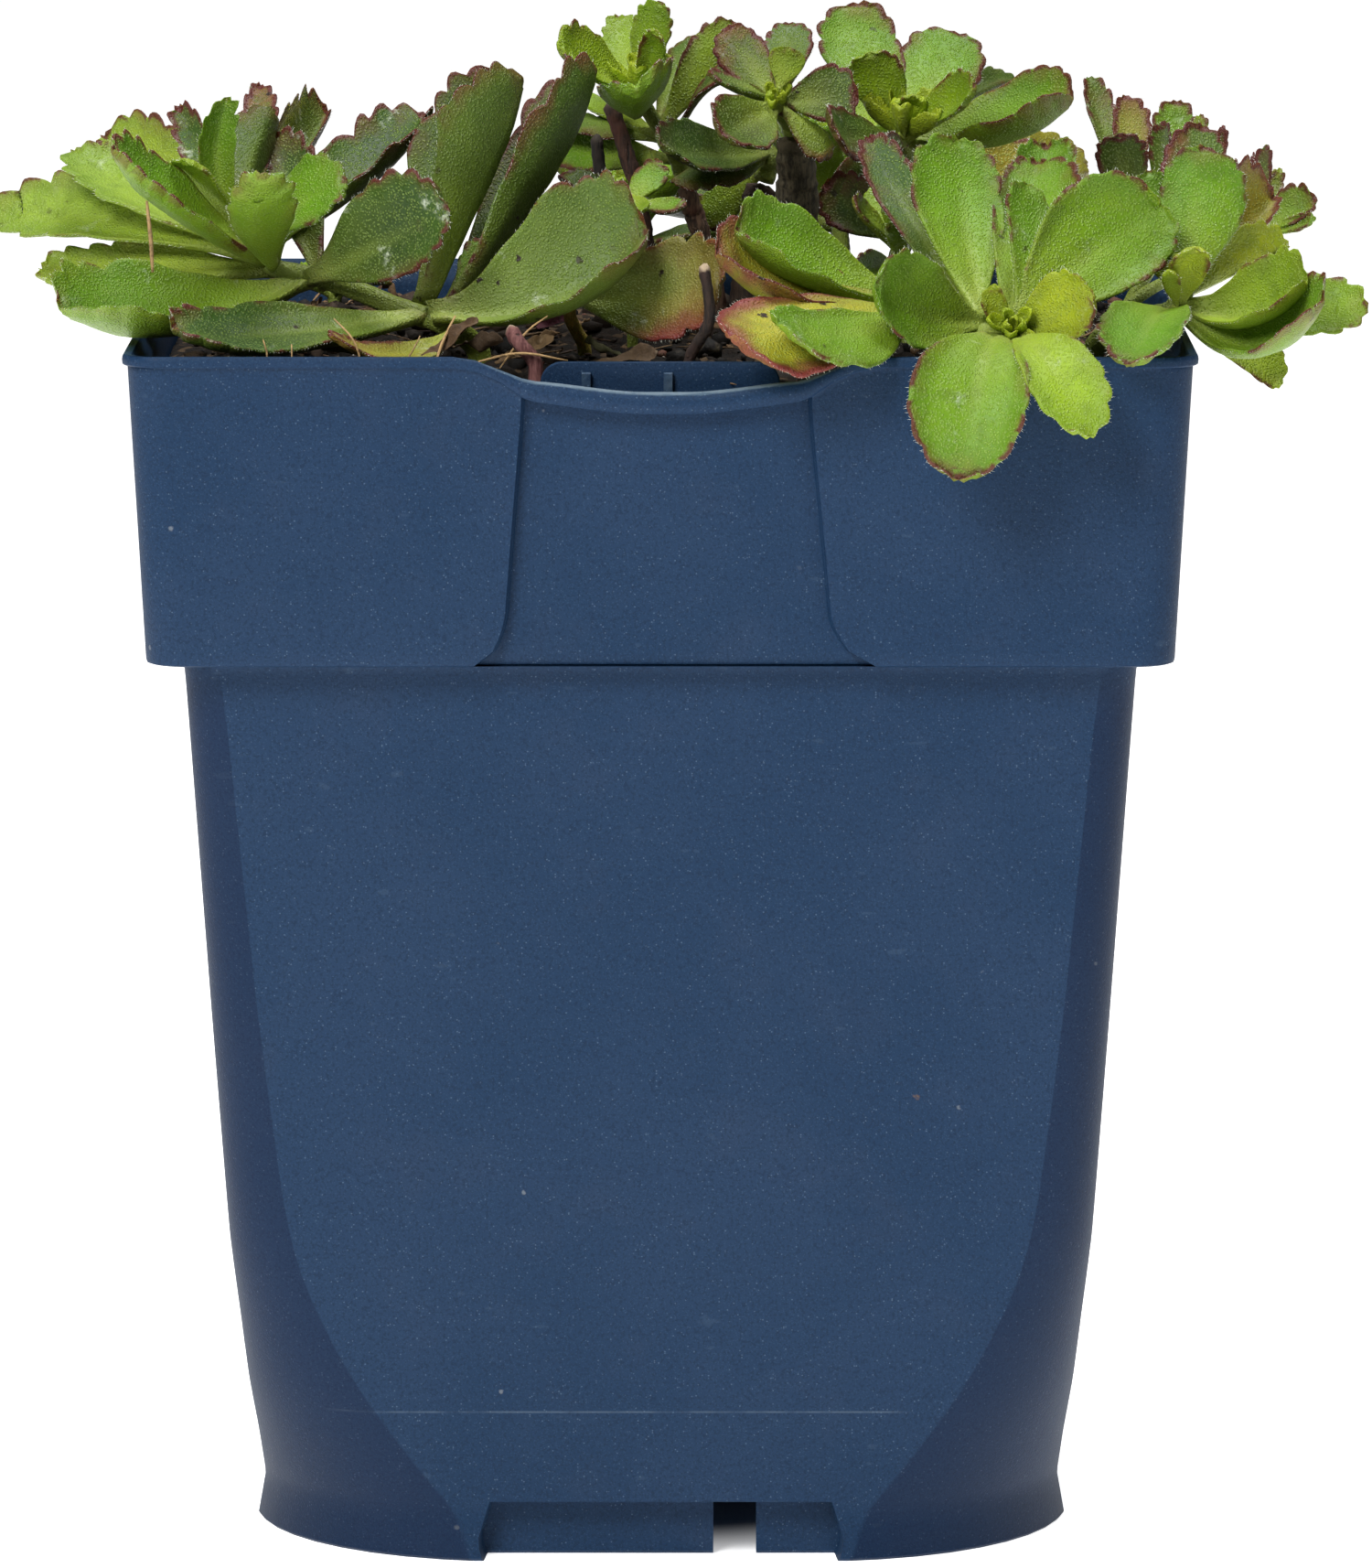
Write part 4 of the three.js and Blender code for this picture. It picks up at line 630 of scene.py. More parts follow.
class Wire:
    """An output of a material's node that sums, differences, products and quotients can be
    written with, on either side of a number."""

    def __init__(self, owner, socket):
        """Keeps the tree that the output is in, and the output's socket."""
        self.owner, self.socket = owner, socket

    def math(self, kind, *values):
        """The node that does one kind of sum with its values."""
        inputs = dict(enumerate(values))
        return self.owner.node("ShaderNodeMath", {"operation": kind}, inputs)

    def __add__(self, other):
        """The sum with a wire or number."""
        return self.math("ADD", self, other)

    def __sub__(self, other):
        """This less a wire or number."""
        return self.math("SUBTRACT", self, other)

    def __rsub__(self, other):
        """A number less this."""
        return self.math("SUBTRACT", other, self)

    def __mul__(self, other):
        """The product with a wire or number."""
        return self.math("MULTIPLY", self, other)

    def __truediv__(self, other):
        """This divided by a wire or number."""
        return self.math("DIVIDE", self, other)

    __radd__ = __add__
    __rmul__ = __mul__

    def step(self, low, high):
        """0 at low, 1 at high, eased between them by smoothstep; low may be the higher one."""
        if low > high:
            return 1 - self.step(high, low)
        settings = {"interpolation_type": "SMOOTHSTEP"}
        inputs = {0: self, 1: low, 2: high, 3: 0.0, 4: 1.0}
        return self.owner.node("ShaderNodeMapRange", settings, inputs)


class Tree:
    """The node tree of a material or of the world, whose nodes are all made by one method."""

    def __init__(self, holder):
        """Turns the holder's nodes on."""
        holder.use_nodes = True
        self.tree = holder.node_tree
        self.made = {}

    def join(self, value, socket):
        """Puts a wire, a colour or a number into a socket."""
        if isinstance(value, Wire):
            self.tree.links.new(value.socket, socket)
        elif isinstance(value, tuple) and len(value) == 3 and len(socket.default_value) == 4:
            socket.default_value = (*value, 1.0)
        else:
            socket.default_value = value

    def node(self, kind, settings, inputs, output=0):
        """A node of a kind with its settings and inputs, as the wire of one of its outputs. It is
        made once: the same call again gives the node that is there."""
        said = {key: getattr(value, "socket", value) for key, value in inputs.items()}
        call = (kind, *settings.items(), *said.items())
        if call not in self.made:
            self.made[call] = made = self.tree.nodes.new(kind)
            for key, value in settings.items():
                setattr(made, key, value)
            for key, value in inputs.items():
                self.join(value, made.inputs[key])
        return Wire(self, self.made[call].outputs[output])


class Look(Tree):
    """A material that keeps the colour that is painted so far."""

    def __init__(self, name):
        """Makes the material, with its shader and the place on the object as a wire."""
        self.material = bpy.data.materials.new(name)
        super().__init__(self.material)
        self.shader = self.tree.nodes["Principled BSDF"]
        self.place = self.node("ShaderNodeTexCoord", {}, {}, "Object")
        self.colour = None

    def layer(self, name, output="Fac"):
        """The number that the mesh carries under this name."""
        return self.node("ShaderNodeAttribute", {"attribute_name": name}, {}, output)

    def tint(self):
        """The colour that the mesh carries."""
        return self.layer("tint", "Color")

    def noise(self, scale, detail=2.0, rough=0.5, place=None):
        """Soft noise from 0 to 1, its grain one over the scale, in metres."""
        inputs = {"Vector": place or self.place, "Scale": scale}
        inputs.update({"Detail": detail, "Roughness": rough})
        return self.node("ShaderNodeTexNoise", {}, inputs)

    def cells(self, scale, output="Distance"):
        """The distance to the nearest of scattered points, or that point's random colour."""
        inputs = {"Vector": self.place, "Scale": scale}
        return self.node("ShaderNodeTexVoronoi", {"feature": "F1"}, inputs, output)

    def stretched(self, factors):
        """The place, multiplied along each axis."""
        inputs = {0: self.place, 1: factors}
        return self.node("ShaderNodeVectorMath", {"operation": "MULTIPLY"}, inputs)

    def part(self, axis):
        """The place along one axis, in metres."""
        return self.node("ShaderNodeSeparateXYZ", {}, {0: self.place}, axis)

    def chosen(self, scale, low, high):
        """1 in a few cells, 0 in the rest: the eased step of each cell's random red value."""
        red = self.node("ShaderNodeSeparateColor", {}, {0: self.cells(scale, "Color")}, 0)
        return red.step(low, high)

    def blend(self, first, second, share):
        """The mean of two colours, weighted by the share of the second."""
        settings = {"data_type": "RGBA", "blend_type": "MIX"}
        return self.node("ShaderNodeMix", settings, {0: share, 6: first, 7: second}, 2)

    def paint(self, colour, share):
        """Blends a colour over what is painted so far."""
        self.colour = self.blend(self.colour, colour, share)

    def bump(self, height, distance, strength):
        """The normal of a surface raised by height times distance."""
        inputs = {"Height": height, "Distance": distance, "Strength": strength}
        return self.node("ShaderNodeBump", {}, inputs)

    def finish(self, roughness, normal=None, **constants):
        """Joins colour, roughness and normal to the shader and sets its constant inputs."""
        self.join(self.colour, self.shader.inputs["Base Color"])
        self.join(roughness, self.shader.inputs["Roughness"])
        if normal is not None:
            self.join(normal, self.shader.inputs["Normal"])
        for name, value in constants.items():
            self.shader.inputs[name.replace("_", " ")].default_value = value
        return self.material


def leaf_look(name, dusty):
    """Fleshy leaf: its own tint, lighter along the rib and at the foot, a pelt of pale glistening
    pimples, an uneven red-brown margin, pale water stains, and black-brown specks on the older
    leaves. Each colour is laid over the last by a share made of noise and the leaf's layers."""
    look = Look(name)
    margin, under = look.layer("margin"), look.layer("under")
    along, rib = look.layer("along"), look.layer("rib")
    red, age, ripe = look.layer("red"), look.layer("age"), look.layer("ripe")
    beneath = under.step(0.3, 0.7)
    above = 1 - beneath

    # Green: cloudy, edge green and painted shade inside the margin, light along rib and at the foot
    look.colour = look.tint()
    large = look.noise(170, 3, 0.6)
    look.paint((0.22, 0.32, 0.012), (large - 0.45).step(0, 0.3) * (1 - 0.8 * age) * 0.4)
    look.paint((0.030, 0.065, 0.006), (look.noise(420, 2) - 0.5).step(0, 0.25) * 0.3)
    look.paint((0.050, 0.120, 0.008), margin.step(3.2, 0.4) * above * 0.35)
    look.paint((0.23, 0.30, 0.05), rib.step(1.3, 0.1) * along.step(0.95, 0.3) * 0.35)
    look.paint((0.29, 0.36, 0.025), along.step(0.75, 0.1) * (1 - 0.75 * age) * 0.55)
    look.paint((0.33, 0.38, 0.09), along.step(0.28, 0.02) * 0.55)
    look.paint((0.19, 0.28, 0.02), beneath * (1 - 0.85 * age) * 0.55)

    # Pimples, fine and wide
    pimple = look.cells(3400).step(0.52, 0.14)
    wide = look.cells(2700).step(0.5, 0.05)
    pelt = look.noise(260, 2).step(0.3, 0.7)
    pale = look.blend(look.tint(), (0.36, 0.50, 0.11), 0.55)
    look.paint(pale, pimple * (0.44 + 0.18 * pelt + 0.14 * age) * (1 - beneath * 0.3))
    look.paint((0.33, 0.40, 0.10), wide * 0.06)

    # Red: a flush near the margin, a broken line on it, pink edges on the ripe leaves
    uneven = look.noise(520, 3, 0.6)
    patch = look.noise(130, 2)
    flush_width = 0.4 + 3.4 * patch.step(0.35, 0.75)
    flush = (1 - margin / flush_width).step(0, 1) * red * (uneven.step(0.25, 0.6) * 0.8 + 0.2)
    look.paint((0.20, 0.055, 0.035), flush * 0.55 * patch.step(0.3, 0.6))
    broken = (uneven * 0.8 + patch * 0.7 - 0.93 + red * 0.6).step(0, 0.15)
    line = (margin + (uneven - 0.5) * 1.3).step(0.75, 0.3) * broken
    look.paint((0.085, 0.012, 0.012), line * (1 - beneath * 0.6) * 0.92)
    ragged = (margin + (look.noise(260, 3, 0.6) - 0.5) * 5).step(2.6, 0.6)
    look.paint((0.20, 0.034, 0.030), ragged * along.step(0.25, 0.6) * ripe * 0.75)
    if dusty:
        low = look.part(2).step(0.135, 0.128)
        turning = (along + (look.noise(200, 4, 0.65) - 0.5) * 0.5).step(0.3, 0.9)
        look.paint((0.30, 0.115, 0.02), turning * (0.4 + 0.6 * low) * (0.55 + 0.3 * pimple))
        spread = (margin + (look.noise(240, 4, 0.65) - 0.5) * 5).step(3.4, 0.9)
        look.paint((0.12, 0.014, 0.014), spread * along.step(0.2, 0.6) * (0.25 + 0.65 * low))

    # Wear: water stains, specks, grime
    stain = look.noise(190, 5, 0.7).step(0.59, 0.74) * look.noise(1500, 2).step(0.4, 0.6) * above
    look.paint((0.50, 0.55, 0.42), stain * (0.25 + 0.6 * age))
    few = look.chosen(480, 0.93, 0.95)
    spot = look.cells(480) + (look.noise(2600, 3) - 0.5) * 0.5 - 0.12 * ripe
    look.paint((0.022, 0.012, 0.006), spot.step(0.2, 0.1) * few * (age + 0.3) * 0.95)
    look.paint((0.06, 0.045, 0.02), look.noise(310, 5, 0.7).step(0.60, 0.72) * age * 0.45)

    normal = look.bump(pimple * 0.5 + wide * 0.35 + large * 0.8, 0.0002, 0.85)
    look.shader.inputs["Subsurface Radius"].default_value = (1.0, 1.0, 0.25)
    return look.finish(
        0.43 - 0.1 * pimple + 0.12 * look.noise(300), normal,
        Specular_IOR_Level=0.32, Subsurface_Weight=0.12, Subsurface_Scale=0.0016,
    )


def hair_look():
    """Pale translucent bristles."""
    look = Look("margin_bristle")
    look.colour = look.blend(look.tint(), (0.85, 0.88, 0.75), 0.85)
    look.paint((0.95, 0.95, 0.92), look.noise(800).step(0.4, 0.7) * 0.5)
    return look.finish(0.4)


def bark_look(name, dark, light, flush, tip):
    """Dry stem skin: long fibres, light dots, dark cracks, and a paler split end."""
    look = Look("bark_" + name)
    fibre = look.noise(1.0, 4, 0.65, look.stretched((2600, 2600, 420)))
    look.colour = look.blend(dark, light, fibre.step(0.35, 0.7))
    dots = look.cells(1500).step(0.3, 0.1) * look.noise(500).step(0.45, 0.6)
    look.paint(light, dots * 0.6)
    look.paint(flush, look.noise(240, 3).step(0.5, 0.68) * 0.6)
    crack = look.noise(1.0, 3, 0.6, look.stretched((1300, 1300, 260))).step(0.38, 0.3)
    look.paint((0.008, 0.006, 0.004), crack * 0.75)
    look.paint(tip, look.layer("along").step(0.965, 0.99) * 0.8)
    normal = look.bump(fibre + dots * 0.5 - crack * 0.8, 0.00022, 0.9)
    return look.finish(0.72 + 0.15 * fibre, normal)


def pot_look():
    """Dark navy polypropylene: a moulded grain with painted highlights as glints, soft mottling,
    light specks and short scuffs, a bleached edge on the rim, painted light on the label pocket,
    painted shade on the rounded corners, and a hairline mark low on the front wall, which is the
    product of steps at its two heights, two ends and depth."""
    look = Look("navy_plastic")
    wear = look.layer("wear")
    large = look.noise(38, 4, 0.6)
    navy, light_navy = (0.0070, 0.0265, 0.0660), (0.0108, 0.0310, 0.0725)
    look.colour = look.blend(navy, light_navy, large.step(0.35, 0.65))
    look.paint((0.020, 0.036, 0.072), look.noise(95, 4, 0.65).step(0.5, 0.75) * 0.3)
    grain = look.cells(4200)
    look.paint((0.030, 0.066, 0.120), grain.step(0.45, 0.05) * 0.45)
    look.paint((0.004, 0.015, 0.040), look.noise(3400, 2, 0.6).step(0.48, 0.66) * 0.6)
    # Painted highlight: pale specks in a few grain cells stand in for glints of light on the grain
    painted_glint = look.chosen(4600, 0.93, 0.98) * look.cells(4600).step(0.5, 0.2)
    look.paint((0.12, 0.18, 0.26), painted_glint * 0.4)
    dust = (look.cells(420) + look.noise(2500) * 0.2).step(0.24, 0.16)
    look.paint((0.20, 0.22, 0.24), look.chosen(420, 0.985, 0.99) * dust * 0.5)
    crumb = (look.cells(150) + (look.noise(1200) - 0.5) * 0.12).step(0.095, 0.07)
    look.paint((0.14, 0.085, 0.05), look.chosen(150, 0.975, 0.98) * crumb * 0.9)
    scuff_field = look.noise(1.0, 2, 0.5, look.stretched((150, 150, 900)))
    look.paint((0.06, 0.10, 0.15), (look.noise(300, 3, 0.6) * scuff_field).step(0.41, 0.45) * 0.15)
    # Wear and painted light: the rim's bleached edge, and a lighter colour painted on the shaded
    # label pocket, most on its ribs
    worn_and_lit = (wear * 1.2 - look.noise(500, 4, 0.7) * 0.9).step(0.02, 0.5)
    look.paint((0.24, 0.36, 0.42), worn_and_lit * 0.16)
    look.paint((0.55, 0.66, 0.70), (wear - look.noise(300, 3, 0.6) * 1.15).step(0.1, 0.4) * 0.12)
    across, depth, level = look.part(0), look.part(1), look.part(2)
    mark = (level - 0.0159).step(0, 0.0001) * (0.0162 - level).step(0, 0.0001)
    mark = mark * (across + 0.036).step(0, 0.004) * (0.027 - across).step(0, 0.004)
    mark = mark * depth.step(-0.0400, -0.0405) * look.noise(150, 3, 0.6).step(0.3, 0.55)
    look.paint((0.10, 0.14, 0.19), mark * 0.4)
    # Painted shade: the rounded corners of the lower wall darkened towards a deep navy
    look.paint((0.0, 0.005, 0.026), look.layer("corner") * 0.5)
    normal = look.bump(grain.step(0.0, 0.6) * 0.5 + look.noise(2200, 2) * 0.8, 0.00006, 0.55)
    return look.finish(0.47 + 0.12 * large - 0.14 * painted_glint, normal, Specular_IOR_Level=0.14)


def soil_look():
    """Damp peat: near black crumbs with brown and reddish ones, and pale grit."""
    look = Look("peat")
    fine = look.noise(1400, 5, 0.7)
    look.colour = look.blend((0.004, 0.003, 0.002), (0.023, 0.014, 0.009), fine.step(0.35, 0.75))
    look.paint((0.055, 0.032, 0.018), look.noise(160, 4, 0.6).step(0.5, 0.7) * 0.5)
    look.paint((0.15, 0.095, 0.05), look.chosen(900, 0.86, 0.92) * 0.6)
    grit = look.chosen(700, 0.965, 0.98) * look.cells(700).step(0.35, 0.2)
    look.paint((0.42, 0.40, 0.36), grit * 0.7)
    normal = look.bump(fine + look.cells(1000), 0.0005, 0.9)
    return look.finish(0.78 + 0.15 * fine, normal, Specular_IOR_Level=0.3)


def litter_look():
    """Straw, bark and crumbs: the piece's own tint with fibres and stains."""
    look = Look("litter")
    fibre = look.noise(1500, 4, 0.65)
    look.colour = look.blend(look.tint(), (0.02, 0.013, 0.008), fibre.step(0.45, 0.75) * 0.6)
    look.paint((0.45, 0.36, 0.22), look.noise(700, 3).step(0.6, 0.8) * 0.25)
    return look.finish(0.75, look.bump(fibre, 0.0003, 0.8), Specular_IOR_Level=0.3)


LEAF_LOOK = leaf_look("green_leaf", False)
RED_LEAF_LOOK = leaf_look("red_leaf", True)
HAIR_LOOK = hair_look()
BARK_LOOKS = {name: bark_look(name, *colours) for name, colours in BARK.items()}
POT_LOOK = pot_look()
SOIL_LOOK = soil_look()
LITTER_LOOK = litter_look()


# Leaves


def outline(u, teeth, deep, shift):
    """One side of a blade, root (u = 0) to tip (u = 1): half width and height as shares.
    A sine widens the narrow foot to the widest place, a quarter ellipse closes the end, and the
    end is drawn in towards its centre between rounded teeth, |sin|^0.75 of the phase."""
    rise = np.minimum(u / WIDEST_STATION, 1)
    closing = np.clip((u - WIDEST_STATION) / (1 - WIDEST_STATION), 0, 1) * math.pi / 2
    foot = FOOT_WIDTH + (1 - FOOT_WIDTH) * np.sin(rise * math.pi / 2) ** 1.55
    end = WIDEST + (1 - WIDEST) * np.sin(closing)
    across = np.where(u < WIDEST_STATION, foot, np.maximum(np.cos(closing), 0) ** 0.82)
    along = np.where(u < WIDEST_STATION, rise * WIDEST, end)
    if teeth:
        start = TEETH_START + shift
        phase = np.maximum(u - start, 0) / (1 - start) * (teeth + 0.5)
        dent = 1 - np.abs(np.sin(math.pi * phase)) ** 0.75
        keep = 1 - deep * dent * np.clip((u - start + 0.03) * 10, 0, 1)
        across = across * keep
        along = np.where(u > start - 0.03, TEETH_CENTRE + (along - TEETH_CENTRE) * keep, along)
    return across, along


def blade_frame(heading, rise, roll):
    """Unit directions along the blade, across it to its left, and up from its upper face."""
    h, r, o = np.radians([heading, rise, roll])
    along = np.array([math.cos(r) * math.cos(h), math.cos(r) * math.sin(h), math.sin(r)])
    level = np.array([-math.sin(h), math.cos(h), 0.0])
    up = math.cos(o) * np.cross(along, level) + math.sin(o) * level
    return along, np.cross(up, along), up


def folded(offset, side, fold, size):
    """Where places of a flat blade go when it folds up along its rib: a share of the way out is
    straight at the fold's angle, and the rest bends along an arc. Gives the ways out and up."""
    slope = math.radians(fold)
    curl = 2.4 * slope / size
    curl = curl if abs(curl) > 1e-5 else 1e-5
    arc = np.abs(offset) * curl
    bent = 1 - RIB_SHARE
    out = RIB_SHARE * offset * math.cos(slope) + bent * np.sign(side) * np.sin(arc) / curl
    raised = RIB_SHARE * np.abs(offset) * math.sin(slope) + bent * (1 - np.cos(arc)) / curl
    return out, raised


def midrib(offset, face, share):
    """A groove along the upper face and a ridge along the lower one, both bell curves of the
    distance from the rib that fade towards the tip."""
    groove = -0.22 * np.exp(-((offset / 0.55) ** 2)) * (face > 0) * smooth(share, 0.02, 0.2)
    ridge = -0.3 * np.exp(-((offset / 0.8) ** 2)) * (face < 0)
    return groove * (1 - smooth(share, 0.6, 0.95)) + ridge * (1 - smooth(share, 0.5, 0.95))


def add_leaf(sheaf, hairs, row, draw, toothed=1.0):
    """Adds one leaf: rings round its section from root to tip, each point lifted off the folded and
    bowed midsurface by a power of the sine of its angle, so that the margin is round and fleshy.
    The bow and the sway go as 4s(1 - s) of the share of the length."""
    x, y, z, length, right, left, heading, rise, roll, fold, bow, sway, letter = row
    size = left + right
    stations = int(np.clip(length * 1.7, 26, 54))
    around = 2 * int(np.clip(size + 8, 10, 20))
    teeth = 0 if length < 5 else 2 if length < 10 else 3 if length < 20 else 4
    along_way, across_way, up_way = blade_frame(heading, rise, roll)

    # Outline: the two sides have teeth of their own, and side veins pull the grid towards the tip
    u = 1 - (1 - np.linspace(0, 1, stations + 1)[:-1]) ** 1.08
    side, face = (np.tile(wave, (stations, 1)) for wave in circle(around))
    shifts = draw.uniform(-0.03, 0.03, 2)
    deep = TOOTH_DEPTH * toothed * draw.uniform(0.5, 0.9) * (0.75 if size > 12 else 1.35)
    wide_l, high_l = (part[:, None] for part in outline(u, teeth, deep, shifts[0]))
    wide_r, high_r = (part[:, None] for part in outline(u, teeth, deep, shifts[1]))
    on_left = (side + 1) / 2
    height = high_r * (1 - on_left) + high_l * on_left
    width = np.where(side < 0, wide_r * right, wide_l * left)
    vein = (0.02 + 0.1 * np.sin(math.pi * np.clip(height, 0, 1))) * np.clip(height * 2, 0, 1)
    share = np.maximum.accumulate(height - vein + vein * np.abs(side) ** 1.3, axis=0)
    offset = width * side
    hump = 4 * share * (1 - share)

    # Midsurface: folded, its margins and tip turned up, waved along the margins
    flat, raised = folded(offset, side, fold, size)
    upturn = draw.uniform(0.35, 1.0, 2) * min(size, 16) / 13
    upturn = np.where(side < 0, upturn[0], upturn[1])
    raised = raised + upturn * smooth(np.abs(side), 0.6, 1.0) ** 1.4 * smooth(share, 0.1, 0.5)
    seed = draw.uniform(0, 900)
    tip_lift = draw.uniform(0.5, 1.2) * min(length, 24) * 0.05 * smooth(share, 0.7, 1.0) ** 1.5
    waves = FULL_TURN * draw.uniform(2.2, 3.6) * share + seed + np.sign(side)
    wave = 0.028 * size * np.sin(waves) * np.abs(side) ** 4 * smooth(share, 0.25, 0.6)

    # Thickness, then the whole in its place with a slight unevenness
    closing = rounded_end(u, 0.86, 0)[:, None]
    thick = HALF_THICKNESS * (1.15 - 0.35 * share) * closing * min(1.0, 0.55 + size / 22)
    lift = thick * np.sign(face) * np.abs(face) ** 0.62
    going = np.where(u[:, None] == 0, -ROOT_DEPTH, share * length)
    up = raised + bow * hump + lift + midrib(offset, face, share) + tip_lift + wave
    rings = np.array([x, y, z], float) + going[..., None] * along_way
    rings = rings + (flat + sway * hump)[..., None] * across_way + up[..., None] * up_way
    swell = 0.09 * clouds(rings, 3.0, int(seed), 2) + 0.03 * clouds(rings, 0.8, int(seed) + 7, 1)
    rings = rings + swell[..., None] * up_way

    # Layers for the look: distance from the margin, redness at the crowns of the teeth
    colour, redness, age = TINTS[letter]
    shade = np.array(colour) * draw.uniform(0.88, 1.12) * draw.uniform(0.95, 1.05, 3)
    margin = (1 - np.abs(side)) * np.maximum(width, 0.05)
    toothless = np.maximum(outline(u, 0, 0, 0)[0][:, None], 1e-3)
    crown = smooth(np.where(side < 0, wide_r, wide_l) / toothless, 1 - deep, 1.0)
    reddening = 0.4 + 0.75 * crown * smooth(share, 0.35, 0.8)
    sheaf.skin(
        rings,
        end=rings[-1].mean(0) + along_way * 0.12,
        margin=np.minimum(margin, (1 - share) * length * 0.6 + 0.02),
        under=(face < -1e-6).astype(float),
        along=share,
        rib=np.abs(offset),
        red=redness * draw.uniform(0.4, 1.35) * reddening,
        age=age * draw.uniform(0.7, 1.2),
        ripe=RIPE.get(letter, 0.0),
        tint=shade,
    )
    if length >= 7:
        add_hairs(hairs, rings, shade, draw)


def add_hairs(hairs, rings, shade, draw):
    """Adds bristles along both margins: slim three-sided spikes that point away from the rib, a
    half millimetre apart, leaning towards the tip."""
    inner = rings.mean(1)

    def unit(ways):
        """The directions, each divided by its length."""
        return ways / np.maximum(np.linalg.norm(ways, axis=1, keepdims=True), 1e-6)

    for column in (0, rings.shape[1] // 2):
        path = rings[:, column]
        steps = np.linalg.norm(np.diff(path, axis=0), axis=1)
        travel = np.concatenate([[0], np.cumsum(steps)])

        def at(spots, line, travel=travel):
            """The places on a line at these distances along the margin."""
            return np.stack([np.interp(spots, travel, line[:, axis]) for axis in range(3)], -1)

        spots = np.arange(0.25 * travel[-1], travel[-1], HAIR_STEP)
        spots = spots + draw.uniform(-0.15, 0.15, len(spots))
        base = at(spots, path)
        out = unit(base - at(spots, inner))
        ahead = unit(at(spots + 0.4, path) - base)
        way = unit(out + 0.35 * ahead + draw.normal(0, 0.22, out.shape))
        reach = draw.uniform(0.15, 0.5, len(spots))[:, None]
        first = unit(np.cross(way, draw.normal(0, 1, way.shape)))
        second = np.cross(way, first)
        root = base - way * 0.08
        corners = []
        for angle in (0, 2.1, 4.2):
            around = math.cos(angle) * first + math.sin(angle) * second
            corners.append(root + HAIR_RADIUS * around)
        points = np.stack([*corners, base + way * reach], 1)
        start = 4 * np.arange(len(spots))[:, None]
        faces = np.array([[0, 1, 3], [1, 2, 3], [2, 0, 3], [0, 2, 1]])
        hairs.add(points, triangles=start[:, None] + faces[None], tint=shade)


def add_stem(sheaf, radius, points, draw):
    """Adds a green stem along its curve: it thins evenly to its growing end, and an eighth power
    of a cosine rings it with old leaf scars."""
    spacing, tip = 0.6, 0.8
    path = through(points, spacing)
    travel = np.linspace(0, 1, len(path))
    length = len(path) * spacing
    thin = radius * (1.06 - (1.06 - tip) * travel)
    scars = 0.07 * np.cos(travel * length / 2.4 * FULL_TURN + draw.uniform(0, 6)) ** 8
    thin = thin * (1 + scars) * rounded_end(travel, 0.97, 0.05)
    rings = tube_rings(path, thin, 14, int(draw.uniform(0, 99)), 0.05, 1.2)
    flat = np.broadcast_to(travel[:, None], rings.shape[:2])
    layers = {"margin": 9.0, "under": 2.0, "rib": 5.0, "red": 0.5, "age": 0.5}
    sheaf.skin(rings, along=flat, tint=STEM_GREEN, **layers)


def from_foot(points):
    """The stem's points, with the first, if it is a foot in the soil, set at three levels."""
    if len(points[0]) == 2:
        return [(*points[0], z) for z in FOOT_LEVELS] + list(points[1:])
    return list(points)


def whorl(crown, count, reach, lean_heading, lean, youngest, lowest, spread):
    """Leaves turned by the golden angle round a crown: the young short and steep, the old long and
    low, all leaning the way the shoot does by the cosine of their heading from it."""
    x, y, z = crown
    rows = []
    for i in range(count):
        age = i / (count - 1)
        heading = round(i * GOLDEN_ANGLE) % 360
        facing = math.cos(math.radians(heading - lean_heading))
        length = reach * (0.4 + 0.6 * math.sqrt(age)) * (1 + 0.2 * facing * lean)
        rise = youngest + (lowest - youngest) * age - 28 * lean * facing * age
        half = length * 0.24
        letter = "b" if age < 0.35 else "g" if age < 0.75 else "d"
        root = (x, y, z - age * spread)
        rows.append((*root, length, half, half, heading, rise, 0, 28, age * 1.2, 0, letter))
    return rows


def buds(crown, lean, count, length):
    """The youngest leaves in a crown that leans towards the front by an angle: tiny, cupped and
    bright, turned by the golden angle, the outer ones longer and further from the crown's axis."""
    tilt = math.radians(lean)
    axis = np.array([0, -math.sin(tilt), math.cos(tilt)])
    across = np.array([1.0, 0, 0])
    rows = []
    for i in range(count):
        share = (i + 1) / count
        angle = i * 2.4 + 1.2
        open_by = math.radians(12 + 50 * share)
        outward = math.cos(angle) * across + math.sin(angle) * np.cross(axis, across)
        along = math.cos(open_by) * axis + math.sin(open_by) * outward
        heading = math.degrees(math.atan2(along[1], along[0]))
        rise = math.degrees(math.asin(along[2]))
        level = np.array([-along[1], along[0], 0]) / math.hypot(along[0], along[1])
        roll = math.degrees(math.atan2(axis @ level, axis @ np.cross(along, level)))
        size = length * (0.55 + 0.45 * share)
        half = size * 0.32
        rows.append((*crown, size, half, half, heading, rise, roll, 50, -0.08 * size, 0, "z"))
    return rows


def leafy_shoot(name, stems, leaves, order):
    """One leafy shoot as a piece of its own, and its margin bristles as a second one."""
    draw = random_source(400 + order)
    sheaf = Sheaf("margin", "under", "along", "rib", "red", "age", "ripe", "tint")
    hairs = Sheaf("tint")
    for radius, points in stems:
        add_stem(sheaf, radius, from_foot(points), draw)
    for row in leaves:
        add_leaf(sheaf, hairs, row, draw, TOOTHED.get(name, 1.0))
    for row in buds(*BUDS.get(name, NO_BUDS)):
        add_leaf(sheaf, hairs, row, draw)
    red = name == "shoot_red"
    shown = sheaf.object("leafy_" + name, RED_LEAF_LOOK if red else LEAF_LOOK)
    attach(shown, "root")
    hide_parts(name)
    if hairs.count:
        fringe = hairs.object("hairs_" + name, HAIR_LOOK)
        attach(fringe, "root")


